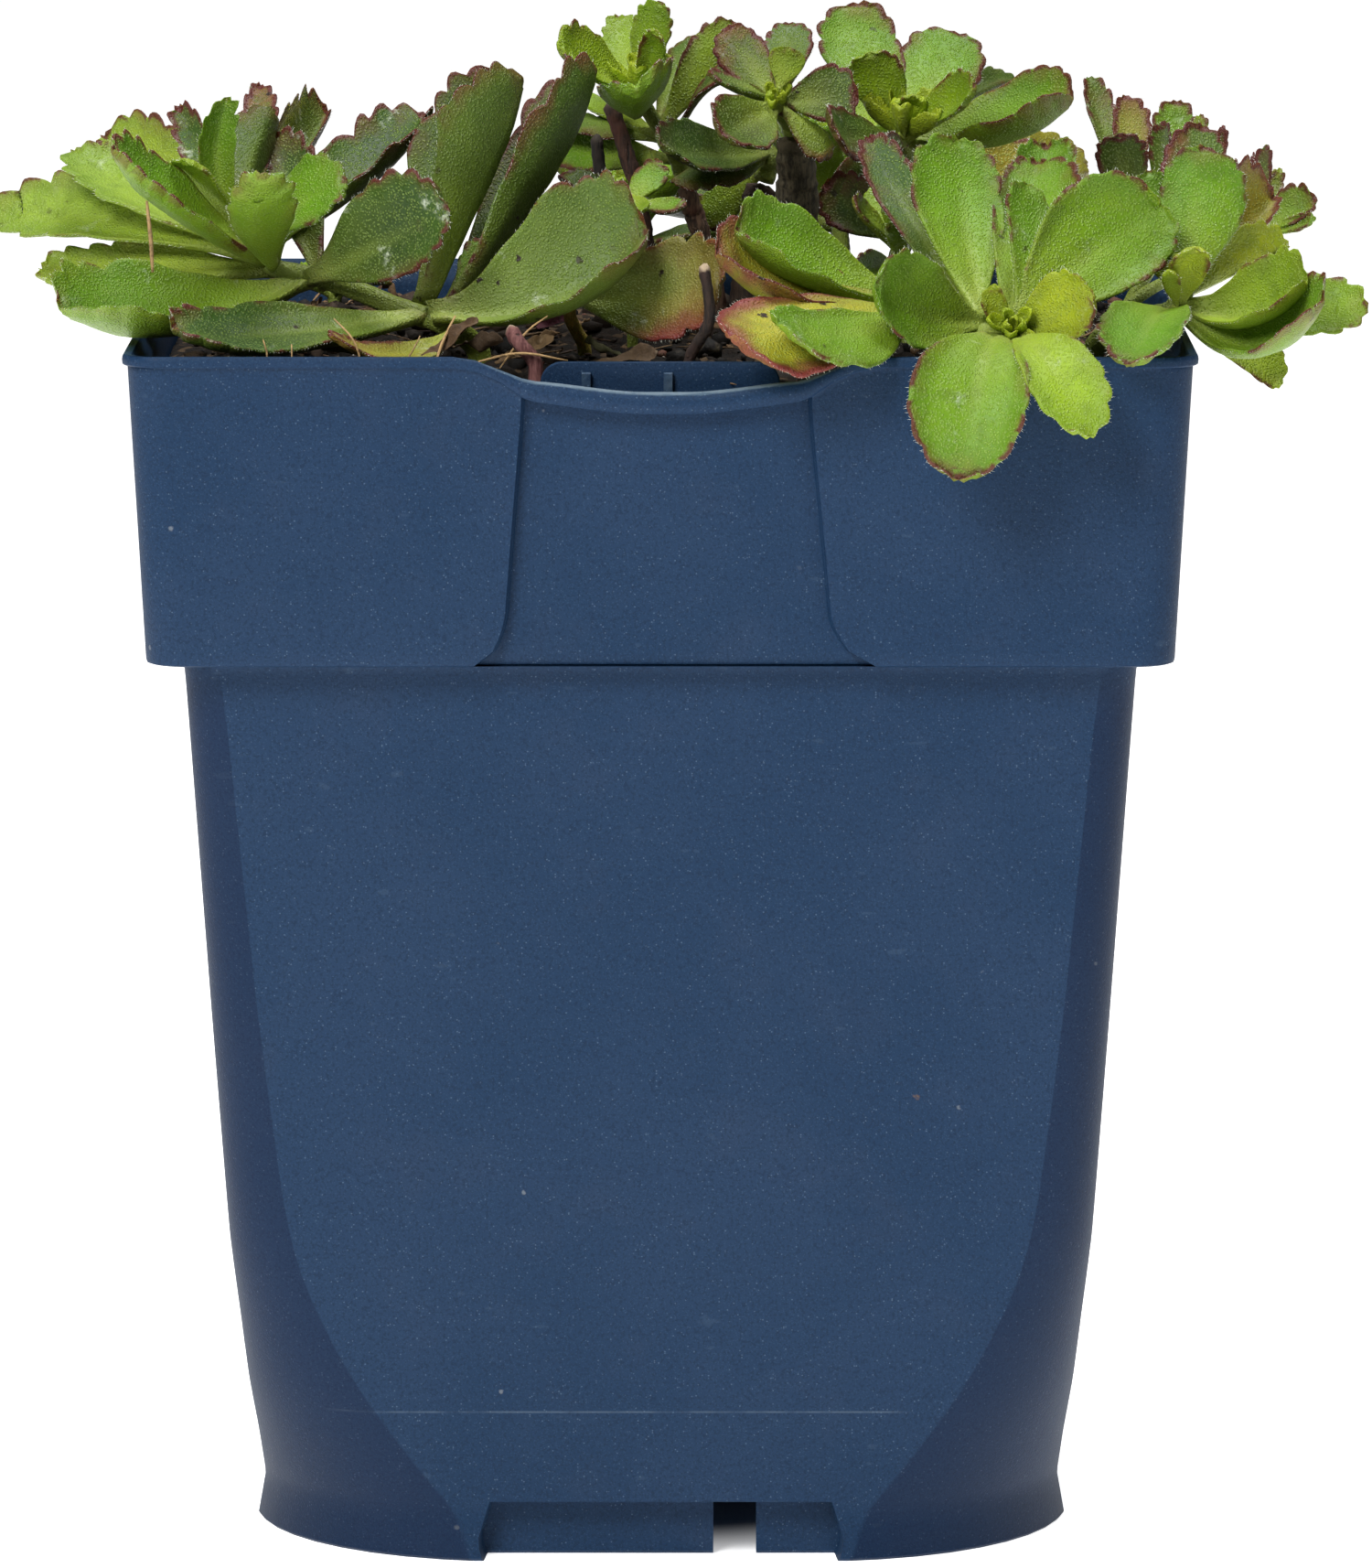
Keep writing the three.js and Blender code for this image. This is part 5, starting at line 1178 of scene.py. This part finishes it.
def woody_stem(name, radius, points, order):
    """A bare stem: a rough tube, swollen at its old leaf scars by the sixth power of a cosine,
    with a torn end."""
    spacing = 0.45
    path = through(from_foot(points), spacing)
    travel = np.linspace(0, 1, len(path))
    length = len(path) * spacing
    knots = np.cos(travel * length / 3.1 * FULL_TURN + order) ** 6
    rough = 0.04 if name == "stem_cut" else 0.1
    thin = radius * (1.04 - 0.1 * travel) * (1 + rough * 0.9 * knots)
    rings = tube_rings(path, thin * rounded_end(travel, 0.985, 0.25), 22, 30 + order, rough, 1.1)
    rings[-3:, :, 2] += 0.25 * clouds(rings[-3:], 0.5, 50 + order, 2)
    sheaf = Sheaf("along")
    sheaf.skin(rings, along=np.broadcast_to(travel[:, None], rings.shape[:2]))
    shown = sheaf.object("woody_" + name, BARK_LOOKS[name])
    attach(shown, "root")
    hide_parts(name)
    "pale_stem" if name == "stem_centre" else "brown_stem"


# Pot


def outer_wall(z):
    """Half width and corner radius of the outer wall at each height. The radius is the mean of
    five, at and around that height."""
    heights, halves, radii = OUTER_WALL.T
    radius = sum(np.interp(z + shift, heights, radii) for shift in (-6, -3, 0, 3, 6)) / 5
    return np.interp(z, heights, halves), radius


def wall_edges(z):
    """The two upright edges on a wall at each height: the foot notch's low down, the recessed
    panel's in the collar, and a straight blend between them."""
    share = np.clip((z - 8) / 80, 0, 1)
    notch = NOTCH_HALF + np.clip((NOTCH_HEIGHT - z) / NOTCH_HEIGHT, 0, 1) * NOTCH_FLARE
    left, right = (np.interp(z, *edge.T) for edge in (RECESS_LEFT, RECESS_RIGHT))
    return -notch * (1 - share) + left * share, notch * (1 - share) + right * share


def wall_columns(z, half, radius):
    """For each height the places across a wall, gathered at its two upright edges, and how far
    each place is inside them: 0 outside, 1 inside, eased over the edges' width."""
    reach = half - radius
    limit = reach - EDGE_MARGIN
    low, high = wall_edges(z)
    low, high = np.maximum(low, -limit)[:, None], np.minimum(high, limit)[:, None]
    reach = reach[:, None]
    keys = [-reach, low - EDGE_WIDTH, low + EDGE_WIDTH, high - EDGE_WIDTH, high + EDGE_WIDTH, reach]
    keys = [np.clip(key, -reach, reach) for key in keys]
    parts = zip(WALL_COLUMNS, keys, keys[1:])
    x = np.hstack([a + (b - a) * (np.arange(count) / count) for count, a, b in parts] + [keys[-1]])
    inside = smooth((x - low) / EDGE_WIDTH, -1, 1) * smooth((high - x) / EDGE_WIDTH, -1, 1)
    return x, inside


def corner_arc(z, half, radius):
    """The arc round a corner at each height. It spans less than a right angle about a centre that
    is moved in, so it ends where a quarter circle would and meets both walls at a faint crease."""
    shares = np.concatenate([[0.015], np.linspace(0.1, 0.9, CORNER_COLUMNS - 2), [0.985]])
    angle = math.radians(-45 - CORNER_ARC / 2) + math.radians(CORNER_ARC) * shares
    slope = math.radians(CORNER_ARC / 2)
    chord = radius[:, None] * math.sqrt(0.5)
    wide = chord / math.sin(slope)
    centre = (half - radius)[:, None] - (wide * math.cos(slope) - chord) * math.sqrt(0.5)
    height = np.broadcast_to(z[:, None], (len(z), CORNER_COLUMNS))
    return np.stack([centre + wide * np.cos(angle), wide * np.sin(angle) - centre, height], -1)


def ring_points(z, half, radius, front, others):
    """Rings round the pot, one for each height. front(x, z, inside) and others(...) give for the
    places on a wall their height and how far they stand in from the wall's own plane."""
    x, inside = wall_columns(z, half, radius)
    corner = corner_arc(z, half, radius)
    walls = []
    for quarter, shape in enumerate((front, others, others, others)):
        height, inward = shape(x, np.broadcast_to(z[:, None], x.shape), inside)
        flat = np.stack([x, inward - half[:, None], height], -1)
        angle = quarter * math.pi / 2
        walls.append(turned(np.concatenate([flat, corner], 1), math.cos(angle), math.sin(angle)))
    return np.concatenate(walls, 1)


def rim_dip(x):
    """How far the front rim dips at x: a wide eased arc and a narrower one in its middle."""
    away = np.abs(x - DIP_CENTRE)
    return DIP_DEPTH * (0.68 * smooth(away, DIP_HALF, 13) + 0.32 * smooth(away, 15, 2))


def band_foot(x):
    """Height of the foot of the rim's band: it is broader where the rim dips."""
    broader = BAND_SWELL * smooth(rim_dip(x) / DIP_DEPTH, 0.25, 0.8)
    return POT_HEIGHT - rim_dip(x) - BAND_HEIGHT - broader


def plain(x, z, inside):
    """A flat wall."""
    return z, 0 * x


def notched(x, z, inside):
    """A wall with the notch in its foot."""
    return z, inside * (z < NOTCH_HEIGHT) * (outer_wall(z)[0] - NOTCH_WALL)


def skirt(x, z, inside):
    """The inside of the foot, which stays clear of the notch."""
    return z, smooth(inside, 0, 0.4) * (outer_wall(z)[0] - NOTCH_WALL)


def panelled(x, z, inside):
    """A wall with the recessed panel."""
    return z, inside * RECESS_DEPTH


def collar(share):
    """The front of the collar at a share of its height: it ends under the dipping band."""

    def front(x, z, inside):
        """Height and inward distance of the collar, which leans as the outer wall does."""
        height = COLLAR_FOOT + (band_foot(x) - BAND_GROOVE - COLLAR_FOOT) * share
        return height, inside * RECESS_DEPTH + outer_wall(z)[0] - outer_wall(height)[0]

    return front


def band(share):
    """The front of the rim's band at a share of its height."""

    def front(x, z, inside):
        """Height and inward distance of the band, which bulges by a sine where the rim dips."""
        foot, dip = band_foot(x), rim_dip(x)
        bulge = 0.35 * dip / DIP_DEPTH * (math.sin(math.pi * min(share * 1.1, 1)) - 0.55)
        return foot + (POT_HEIGHT - dip - foot) * share, -bulge

    return front


def rim(x, z, inside):
    """The top of the front rim with its dip."""
    return z - rim_dip(x), 0 * x


def inner(x, z, inside):
    """The inside of the front wall: the dip fades out downwards, and the back of the panel stands
    in."""
    near = smooth(np.abs(x - 1), *PANEL_BACK) * np.clip((126.5 - z) / 2.5, 0, 1)
    return z - rim_dip(x) * np.clip((z - 118) / 8, 0, 1), (RECESS_DEPTH + 0.15) * near


def pot_skin():
    """The pot's closed skin as rings, with how worn each place is and how far it is on a corner of
    the lower wall. It goes from the middle of the underside out to the foot, up the outer wall,
    the ledge, collar and rim band, over the rim and down inside to the middle of the floor."""
    rings, wears = [], []

    def add(z, half, radius, front=plain, others=plain, wear=0.0):
        """Adds the rings at these heights."""
        z, half, radius = np.broadcast_arrays(np.atleast_1d(z).astype(float), half, radius)
        made = ring_points(z, half, radius, front, others)
        rings.append(made)
        in_dip = smooth(np.abs(made[..., 0]), 24, 12) * (made[..., 1] < -50)
        wears.append(wear * (0.3 + 0.7 * in_dip))

    def lining(z, level, share=1.0, gap=0.0, front=plain, others=plain):
        """Adds a ring a wall's thickness inside the outer wall of a level, or a share of it."""
        half, radius = outer_wall(np.array([level]))
        inset = np.maximum(radius - WALL, 1)
        add(z, (half - WALL - gap) * share, inset * share, front, others)

    # Underside, inside of the foot, outer wall and ledge
    for share in (0.15, 0.5, 0.85):
        lining(UNDERSIDE, UNDERSIDE, share)
    for z in (UNDERSIDE, 5.0, 3.0, 1.0, 0.25):
        lining(z, z, front=skirt, others=skirt)
    half, radius = outer_wall(np.array([0.0]))
    add(0.0, half - WALL + 0.25, radius - 1, notched, notched)
    add(0.0, half - 0.3, radius - 0.2, notched, notched)
    levels = np.array([0.3, 1.2, 2.4, 3.6, 4.8, 5.6, 6.04, 6.22, 7, 8.2, 9.5])
    levels = np.concatenate([levels, np.linspace(11, 94.6, 64)])
    add(levels, *outer_wall(levels), notched, notched)
    for z, half, radius in LEDGE_PROFILE:
        add(z, half, radius)

    # Collar with its recessed panel, then the band and the rim
    add(LEDGE + 0.02, 52.45, 3.5, panelled)
    add(LEDGE + 0.18, 52.8, 3.5, panelled)
    foot_shares = np.linspace(0, 0.12, 4)[:-1]
    for share in (*foot_shares, *np.linspace(0.12, 0.96, 20), 0.985, 1.0):
        z = COLLAR_FOOT + (POT_HEIGHT - BAND_HEIGHT - BAND_GROOVE - COLLAR_FOOT) * share
        add(z, *outer_wall(np.array([z])), collar(share))
    for share, half in BAND_PROFILE:
        z = POT_HEIGHT - BAND_HEIGHT * (1 - share)
        add(z, half, 3.8, band(share), plain, 1.0 if share > 0.9 else 0.2)
    for z, half, wear in RIM_PROFILE:
        add(z, half, 2.7, rim, plain, wear)

    # Inside, down to the floor
    for z in (126.0, 125.0, 123.5, 121.0, 116.0, 108.0, 101.0, LEDGE + WALL + 0.4):
        lining(z, z, gap=0.1, front=inner)
    for half in (50.5, 48.6):
        add(LEDGE + WALL, half, 2.8)
    for z in (94.0, 75.0, 56.7, 34.0, 25.0, 17.0, FLOOR_TOP + 0.3):
        lining(z, z)
    for share in (0.98, 0.6, 0.2):
        lining(FLOOR_TOP, FLOOR_TOP + 0.3, share)
    rings = np.concatenate(rings)
    on_wall = sum(WALL_COLUMNS) + 1
    on_corner = np.tile(np.arange(on_wall + CORNER_COLUMNS) >= on_wall, 4)
    # Last, how far each place is on a rounded corner of the lower wall, fading out from 90 to 97 mm
    # up: where painted shade darkens the colour
    return rings, np.concatenate(wears), on_corner * smooth(rings[..., 2], 97, 90)


def plate(sheaf, corners, front, back, edge=0.14, wear=0.25):
    """Adds a flat plate with softened edges: an outline in x and z between two depths, lightened by
    its share of wear and painted light.
    """
    ring = np.array(corners, float)
    to_middle = ring.mean(0) - ring
    inset = ring + to_middle / np.linalg.norm(to_middle, axis=1, keepdims=True) * edge
    rings = []
    for shape, y in ((inset, back), (ring, back - edge), (ring, front + edge), (inset, front)):
        rings.append(np.stack([shape[:, 0], np.full(len(shape), y), shape[:, 1]], -1))
    sheaf.skin(rings, wear=wear)


def tongue_outline(half, low, high, corner):
    """A plate's outline with two rounded upper corners."""
    angle = np.linspace(0, math.pi / 2, 7)
    right = (half - corner, high - corner) + corner * np.stack([np.cos(angle), np.sin(angle)], -1)
    return np.vstack([[(half, low)], right, right[::-1] * (-1, 1), [(-half, low)]])


def box_outline(low_x, high_x, low_z, high_z):
    """The four corners of a box in x and z."""
    return [(high_x, low_z), (high_x, high_z), (low_x, high_z), (low_x, low_z)]


def label_pocket():
    """The pocket behind the front rim: its tongue, two ribs on it, two sides and the floor."""
    sheaf = Sheaf("wear", "corner")
    # Painted light: the pocket's plates get a lighter colour through the same layer as the rim's
    # wear, most on the two ribs, to lift the shaded pocket
    plate(sheaf, tongue_outline(POCKET_HALF, POCKET_FLOOR, POCKET_TOP, 2.2), -49.4, -48.2)
    for x in POCKET_RIBS:
        plate(sheaf, box_outline(x - 0.45, x + 0.45, 108, 125.9), -50.1, -49.2, 0.12, 0.6)
    for x in (-12.4, 12.4):
        plate(sheaf, box_outline(x - 0.6, x + 0.6, POCKET_FLOOR, 122.4), -51.2, -48.6, 0.12)
    plate(sheaf, box_outline(-12.9, 12.9, POCKET_FLOOR, 108), -51.2, -48.6, 0.12)
    return sheaf.object("label_pocket", POT_LOOK)


def drill(shown):
    """Takes the four round drain holes and the four slots in the foot out of the pot."""
    cutter = Sheaf()

    def column(corners, low, height):
        """Adds an upright prism to the cutter."""
        ring = np.column_stack([corners, np.full(len(corners), low)])
        cutter.skin([ring, ring + (0, 0, height)])

    hole = np.stack(circle(32), -1) * DRAIN_HOLE_RADIUS
    for x in (-DRAIN_HOLE_OFFSET, DRAIN_HOLE_OFFSET):
        for y in (-DRAIN_HOLE_OFFSET, DRAIN_HOLE_OFFSET):
            column(hole + (x, y), UNDERSIDE - 1, 4)
    near, far = DRAIN_SLOT
    front, back = -NOTCH_WALL - 1, -37
    slot = np.array([(near, front), (far, front), (far, back), (near, back)])
    for cos, sin in ((1, 0), (0, 1), (-1, 0), (0, -1)):
        column(turned(slot, cos, sin), -1.0, 6.6)
    tool = cutter.object("cutter", POT_LOOK)
    cut = shown.modifiers.new("holes", "BOOLEAN")
    cut.operation = "DIFFERENCE"
    cut.object = tool
    cut.solver = "EXACT"
    bpy.context.view_layer.update()
    graph = bpy.context.evaluated_depsgraph_get()
    done = bpy.data.meshes.new_from_object(shown.evaluated_get(graph))
    shown.modifiers.clear()
    shown.data = done
    bpy.data.objects.remove(tool)


def pot():
    """The pot with its label pocket and drain holes, as one piece, smooth but for its sharp
    edges."""
    sheaf = Sheaf("wear", "corner")
    rings, wear, corner = pot_skin()
    sheaf.skin(rings, wear=wear, corner=corner)
    shown = sheaf.object("nursery_pot", POT_LOOK)
    drill(shown)
    both = [shown, label_pocket()]
    with bpy.context.temp_override(
        active_object=shown, selected_editable_objects=both, selected_objects=both
    ):
        bpy.ops.object.join()
    mesh = shown.data
    mesh.polygons.foreach_set("use_smooth", np.ones(len(mesh.polygons), bool))
    mesh.set_sharp_from_angle(angle=math.radians(SHARP_ANGLE))
    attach(shown, "root")
    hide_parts("pot")


# Soil and litter


def soil_height(x, y):
    """The mound: its edge height, more towards the middle by 1 - share^4, and crumbs on top."""
    share = np.minimum(1, np.maximum(np.abs(x), np.abs(y)) / 53)
    base = SOIL_EDGE + (SOIL_MOUND - SOIL_TILT * y) * (1 - share**4)
    flat = np.stack([x, y, np.zeros_like(x)], -1)
    crumbly = 0.55 * clouds(flat, 5.0, 3, 2) + 0.5 * clouds(flat, 1.6, 9, 3)
    return base + crumbly * (0.3 + 0.7 * (1 - share**8))


def rounded(ring, half, radius):
    """Places of a ring moved out or in, along their lines from the middle, to a rounded square."""
    way = ring / np.linalg.norm(ring, axis=1, keepdims=True)
    quarter = np.abs(way)
    flat = half / quarter.max(1)
    centre = half - radius
    along = (quarter * centre).sum(1)
    arc = along + np.sqrt(np.maximum(along**2 - 2 * centre**2 + radius**2, 0))
    on_corner = (quarter * flat[:, None]).min(1) > centre
    return way * np.where(on_corner, arc, flat)[:, None]


def soil_top():
    """The surface as a grid of points: a square with rounded corners, clear of the back of the
    recessed panel and sunk under the label pocket."""
    side = np.linspace(-SOIL_HALF, SOIL_HALF, SOIL_GRID)
    x, y = np.meshgrid(side, side, indexing="ij")
    reach = SOIL_HALF - SOIL_CORNER
    over_x, over_y = np.abs(x) - reach, np.abs(y) - reach
    beyond = np.hypot(np.maximum(over_x, 0), np.maximum(over_y, 0))
    outside = (over_x > 0) & (over_y > 0) & (beyond > SOIL_CORNER)
    pull = SOIL_CORNER / np.maximum(beyond, 1e-6)
    x = np.where(outside, np.sign(x) * (reach + over_x * pull), x)
    y = np.where(outside, np.sign(y) * (reach + over_y * pull), y)
    y = np.maximum(y, 2.0 * smooth(np.abs(x - 1), 22, 19) - SOIL_HALF)
    in_pocket = (np.abs(x) < 13.3) & (y < -48.4)
    return np.stack([x, y, np.where(in_pocket, 106.0, soil_height(x, y))], -1)


def soil():
    """The bed of peat: a fine grid on top, its outline following the wall down to the floor."""
    top = soil_top().reshape(-1, 3)
    grid = np.arange(len(top)).reshape(SOIL_GRID, SOIL_GRID)
    quads = np.stack([grid[:-1, :-1], grid[1:, :-1], grid[1:, 1:], grid[:-1, 1:]], -1)
    edge = np.concatenate([grid[:-1, 0], grid[-1, :-1], grid[:0:-1, -1], grid[0, :0:-1]])
    n = len(edge)
    rings, loops = [], [edge]
    for k, (level, half, radius) in enumerate(SOIL_SIDES):
        ring = rounded(top[edge, :2], half, radius)
        rings.append(np.column_stack([ring, np.full(n, level)]))
        loops.append(len(top) + k * n + np.arange(n))
    points = np.vstack([top, *rings, [(0, 0, SOIL_SIDES[-1][0])]])
    sides = []
    for high, low in zip(loops, loops[1:]):
        sides.append(np.stack([low, np.roll(low, -1), np.roll(high, -1), high], -1))
    bottom = np.stack([np.full(n, len(points) - 1), np.roll(loops[-1], -1), loops[-1]], -1)
    sheaf = Sheaf()
    sheaf.add(points, np.vstack([quads.reshape(-1, 4), *sides]), bottom)
    shown = sheaf.object("peat_bed", SOIL_LOOK)
    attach(shown, "root")
    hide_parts("soil")


def free_spots(draw, count, reach=51.0):
    """Places on the soil, clear of the label pocket."""
    x, y = draw.uniform(-reach, reach, (2, count))
    pocket = (np.abs(x) < 15) & (y < -46)
    return x[~pocket], y[~pocket]


def crumbs(sheaf, draw, count, sizes, colours):
    """Adds lumps: a twenty-sided solid for each, stretched and turned at random."""
    x, y = free_spots(draw, count)
    n = len(x)
    size = sizes[0] + (sizes[1] - sizes[0]) * draw.uniform(0, 1, n) ** 3
    stretch = draw.uniform(0.5, 1.5, (n, 1, 3)) * size[:, None, None]
    rough = draw.uniform(0.75, 1.25, (n, 12, 1))
    angle = draw.uniform(0, FULL_TURN, n)[:, None]
    lumps = turned(LUMP[None] * stretch * rough, np.cos(angle), np.sin(angle)) * (1, 1, 0.8)
    place = np.stack([x, y, soil_height(x, y) + size * 0.35], -1)
    faces = 12 * np.arange(n)[:, None, None] + LUMP_FACES[None]
    chosen = np.array(colours)[draw.integers(0, len(colours), n)] * draw.uniform(0.7, 1.3, (n, 1))
    sheaf.add(lumps + place[:, None], triangles=faces, tint=np.repeat(chosen, 12, axis=0))


def fibre(sheaf, draw, points, radius, colour, around):
    """Adds one fibre or straw: a thin tube along a curve, thinner at both ends by a power of the
    sine."""
    path = through(points, 0.8)
    travel = np.linspace(0, 1, len(path))
    thin = radius * (0.35 + 0.65 * np.sin(math.pi * np.clip(travel, 0.04, 0.96)) ** 0.4)
    shade = np.array(colour) * draw.uniform(0.8, 1.2)
    sheaf.skin(tube_rings(path, thin, around, 5, 0.12, 0.7), tint=shade)


def thread_points(draw, x, y):
    """Four points of a root thread: a straight line that rises a little, each point pushed aside
    by a random bend that grows along it."""
    heading = draw.uniform(0, FULL_TURN)
    length = 1.5 + 6 * draw.uniform() ** 2
    ground = float(soil_height(np.array(x), np.array(y)))
    rise = draw.uniform(0, 0.45) ** 1.5
    way = np.array([math.cos(heading), math.sin(heading)])
    points = []
    for share in (0, 0.33, 0.66, 1):
        bend = draw.normal(0, 0.25 * length * share, 2)
        spot = np.clip((x, y) + way * length * share + bend * 0.5, -52, 52)
        points.append((*spot, ground + 0.15 + length * share * rise))
    return points


def dry_leaf(sheaf, draw, x, y, z, length, width, heading, rise, roll, colour):
    """Adds a shrivelled leaf: a thin blade whose sides and ends curl up by the square of the
    distance, and whose face is crumpled by noise."""
    along_way, across_way, up_way = blade_frame(heading, rise, roll)
    u = np.linspace(0, 1, 22)[:-1]
    side, face = circle(18)
    wide, high = outline(u, 2, 0.08, 0.0)
    offset = wide[:, None] * side * width
    share = high[:, None] * np.ones_like(side)
    raised = 0.75 * offset**2 / width + 0.2 * length * (share - 0.5) ** 2 + 0.13 * face
    rings = np.array([x, y, z]) + (share * length)[..., None] * along_way
    rings = rings + offset[..., None] * across_way + raised[..., None] * up_way
    rings = rings + (0.8 * clouds(rings, 1.8, int(x * 7 + y), 3))[..., None] * up_way
    sheaf.skin(rings, tint=np.array(colour) * draw.uniform(0.85, 1.15))


def litter():
    """Loose litter on the peat: crumbs, grit, chips, root threads, straws and dry leaves."""
    draw = random_source(88)
    sheaf = Sheaf("tint")
    crumbs(sheaf, draw, 1500, (0.25, 1.5), CRUMB_COLOURS)
    crumbs(sheaf, draw, 120, (0.12, 0.35), GRIT_COLOURS)
    crumbs(sheaf, draw, 160, (0.3, 0.9), CHIP_COLOURS)
    for x, y in zip(*free_spots(draw, 420, 49)):
        points = thread_points(draw, x, y)
        colour = FIBRE_COLOURS[int(draw.integers(0, 4))]
        fibre(sheaf, draw, points, draw.uniform(0.05, 0.16), colour, 4)
    for radius, points in STRAWS:
        fibre(sheaf, draw, points, radius, STRAW, 6)
    for x, y in zip(*free_spots(draw, 16, 44)):
        ground = float(soil_height(np.array(x), np.array(y))) + 0.3
        length = draw.uniform(4, 7)
        colour = FIBRE_COLOURS[int(draw.integers(0, 3))]
        heading, roll = draw.uniform(0, 360), draw.uniform(-30, 30)
        dry_leaf(sheaf, draw, x, y, ground, length, length * 0.14, heading, 12, roll, colour)
    for row in DRY_LEAVES:
        dry_leaf(sheaf, draw, *row)
    shown = sheaf.object("soil_litter", LITTER_LOOK)
    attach(shown, "root")


# Stage


def floor():
    """A pale floor that glows white, but not close around the pot's foot. The glow is painted light
    that washes out the pot's shadow beside it, and the ground under the pot stays in shade.
    """
    look = Look("pale_floor")
    far = look.node("ShaderNodeVectorMath", {"operation": "LENGTH"}, {0: look.place}, 1)
    # Painted light: the glow starts 25 mm from the middle and is whole from 50 mm, so the pot's
    # shadow beside the foot is washed out and the ground under the pot stays dark
    glow = look.blend((0.0, 0.0, 0.0), FLOOR_GLOW, far.step(0.025, 0.05))
    look.join(glow, look.shader.inputs["Emission Color"])
    look.colour = FLOOR_COLOUR
    mesh = bpy.data.meshes.new("floor")
    corners = [(x * FLOOR_HALF, y * FLOOR_HALF, 0) for x, y in ((-1, -1), (1, -1), (1, 1), (-1, 1))]
    mesh.from_pydata(corners, [], [(0, 1, 2, 3)])
    mesh.materials.append(look.finish(0.9, Emission_Strength=1.0))
    placed("floor", mesh)


def room():
    """A white room as the camera sees it. The light it gives is a base and two straight ramps,
    towards the top and towards the front."""
    world = bpy.data.worlds.new("white_room")
    room_tree = Tree(world)
    ways = room_tree.node("ShaderNodeTexCoord", {}, {}, "Generated")
    strength = ROOM_BASE
    for axis, low, high, gain in ROOM_LIGHT:
        part = room_tree.node("ShaderNodeSeparateXYZ", {}, {0: ways}, axis)
        ramp = {0: part, 1: low, 2: high, 4: gain}
        strength = room_tree.node("ShaderNodeMapRange", {}, ramp) + strength
    light = room_tree.tree.nodes["Background"]
    room_tree.join(strength, light.inputs["Strength"])
    white = {"Color": (1, 1, 1), "Strength": ROOM_SEEN}
    white = room_tree.node("ShaderNodeBackground", {}, white)
    seen = room_tree.node("ShaderNodeLightPath", {}, {}, "Is Camera Ray")
    both = {0: seen, 1: Wire(room_tree, light.outputs[0]), 2: white}
    both = room_tree.node("ShaderNodeMixShader", {}, both)
    room_tree.join(both, room_tree.tree.nodes["World Output"].inputs["Surface"])
    bpy.context.scene.world = world


def lamps():
    """Soft square lamps, each turned to face the object."""
    for name, (place, size, power) in LAMPS.items():
        lamp = bpy.data.lights.new(name, "AREA")
        lamp.size = size
        lamp.energy = power
        held = placed(name, lamp)
        held.location = place
        aim = np.array(LAMP_AIM) - np.array(place)
        tilt = math.acos(-aim[2] / np.linalg.norm(aim))
        held.rotation_euler = (tilt, 0, math.atan2(-aim[0], aim[1]))


def camera():
    """The camera at the portrait's viewpoint, and plain colours in its picture."""
    lens = bpy.data.cameras.new("camera")
    lens.lens = CAMERA_LENS
    lens.sensor_width = CAMERA_SENSOR
    lens.clip_start = 0.1
    lens.clip_end = 20
    eye = placed("camera", lens)
    eye.location = [value * MM for value in CAMERA_PLACE]
    eye.rotation_euler = (math.radians(90 - CAMERA_TILT), 0, 0)
    bpy.context.scene.camera = eye
    bpy.context.scene.view_settings.view_transform = "Standard"


floor()
room()
lamps()
camera()
pot()
soil()
litter()
for order, (name, stems) in enumerate(STEMS.items()):
    leafy_shoot(name, stems, LEAVES[name], order)
for order, (name, (foot, crown, radius, *rule)) in enumerate(HIDDEN_SHOOTS.items()):
    leafy_shoot(name, [(radius, [foot, crown])], whorl(crown, *rule), 30 + order)
for order, (name, (radius, points)) in enumerate(WOODY.items()):
    woody_stem(name, radius, points, order)
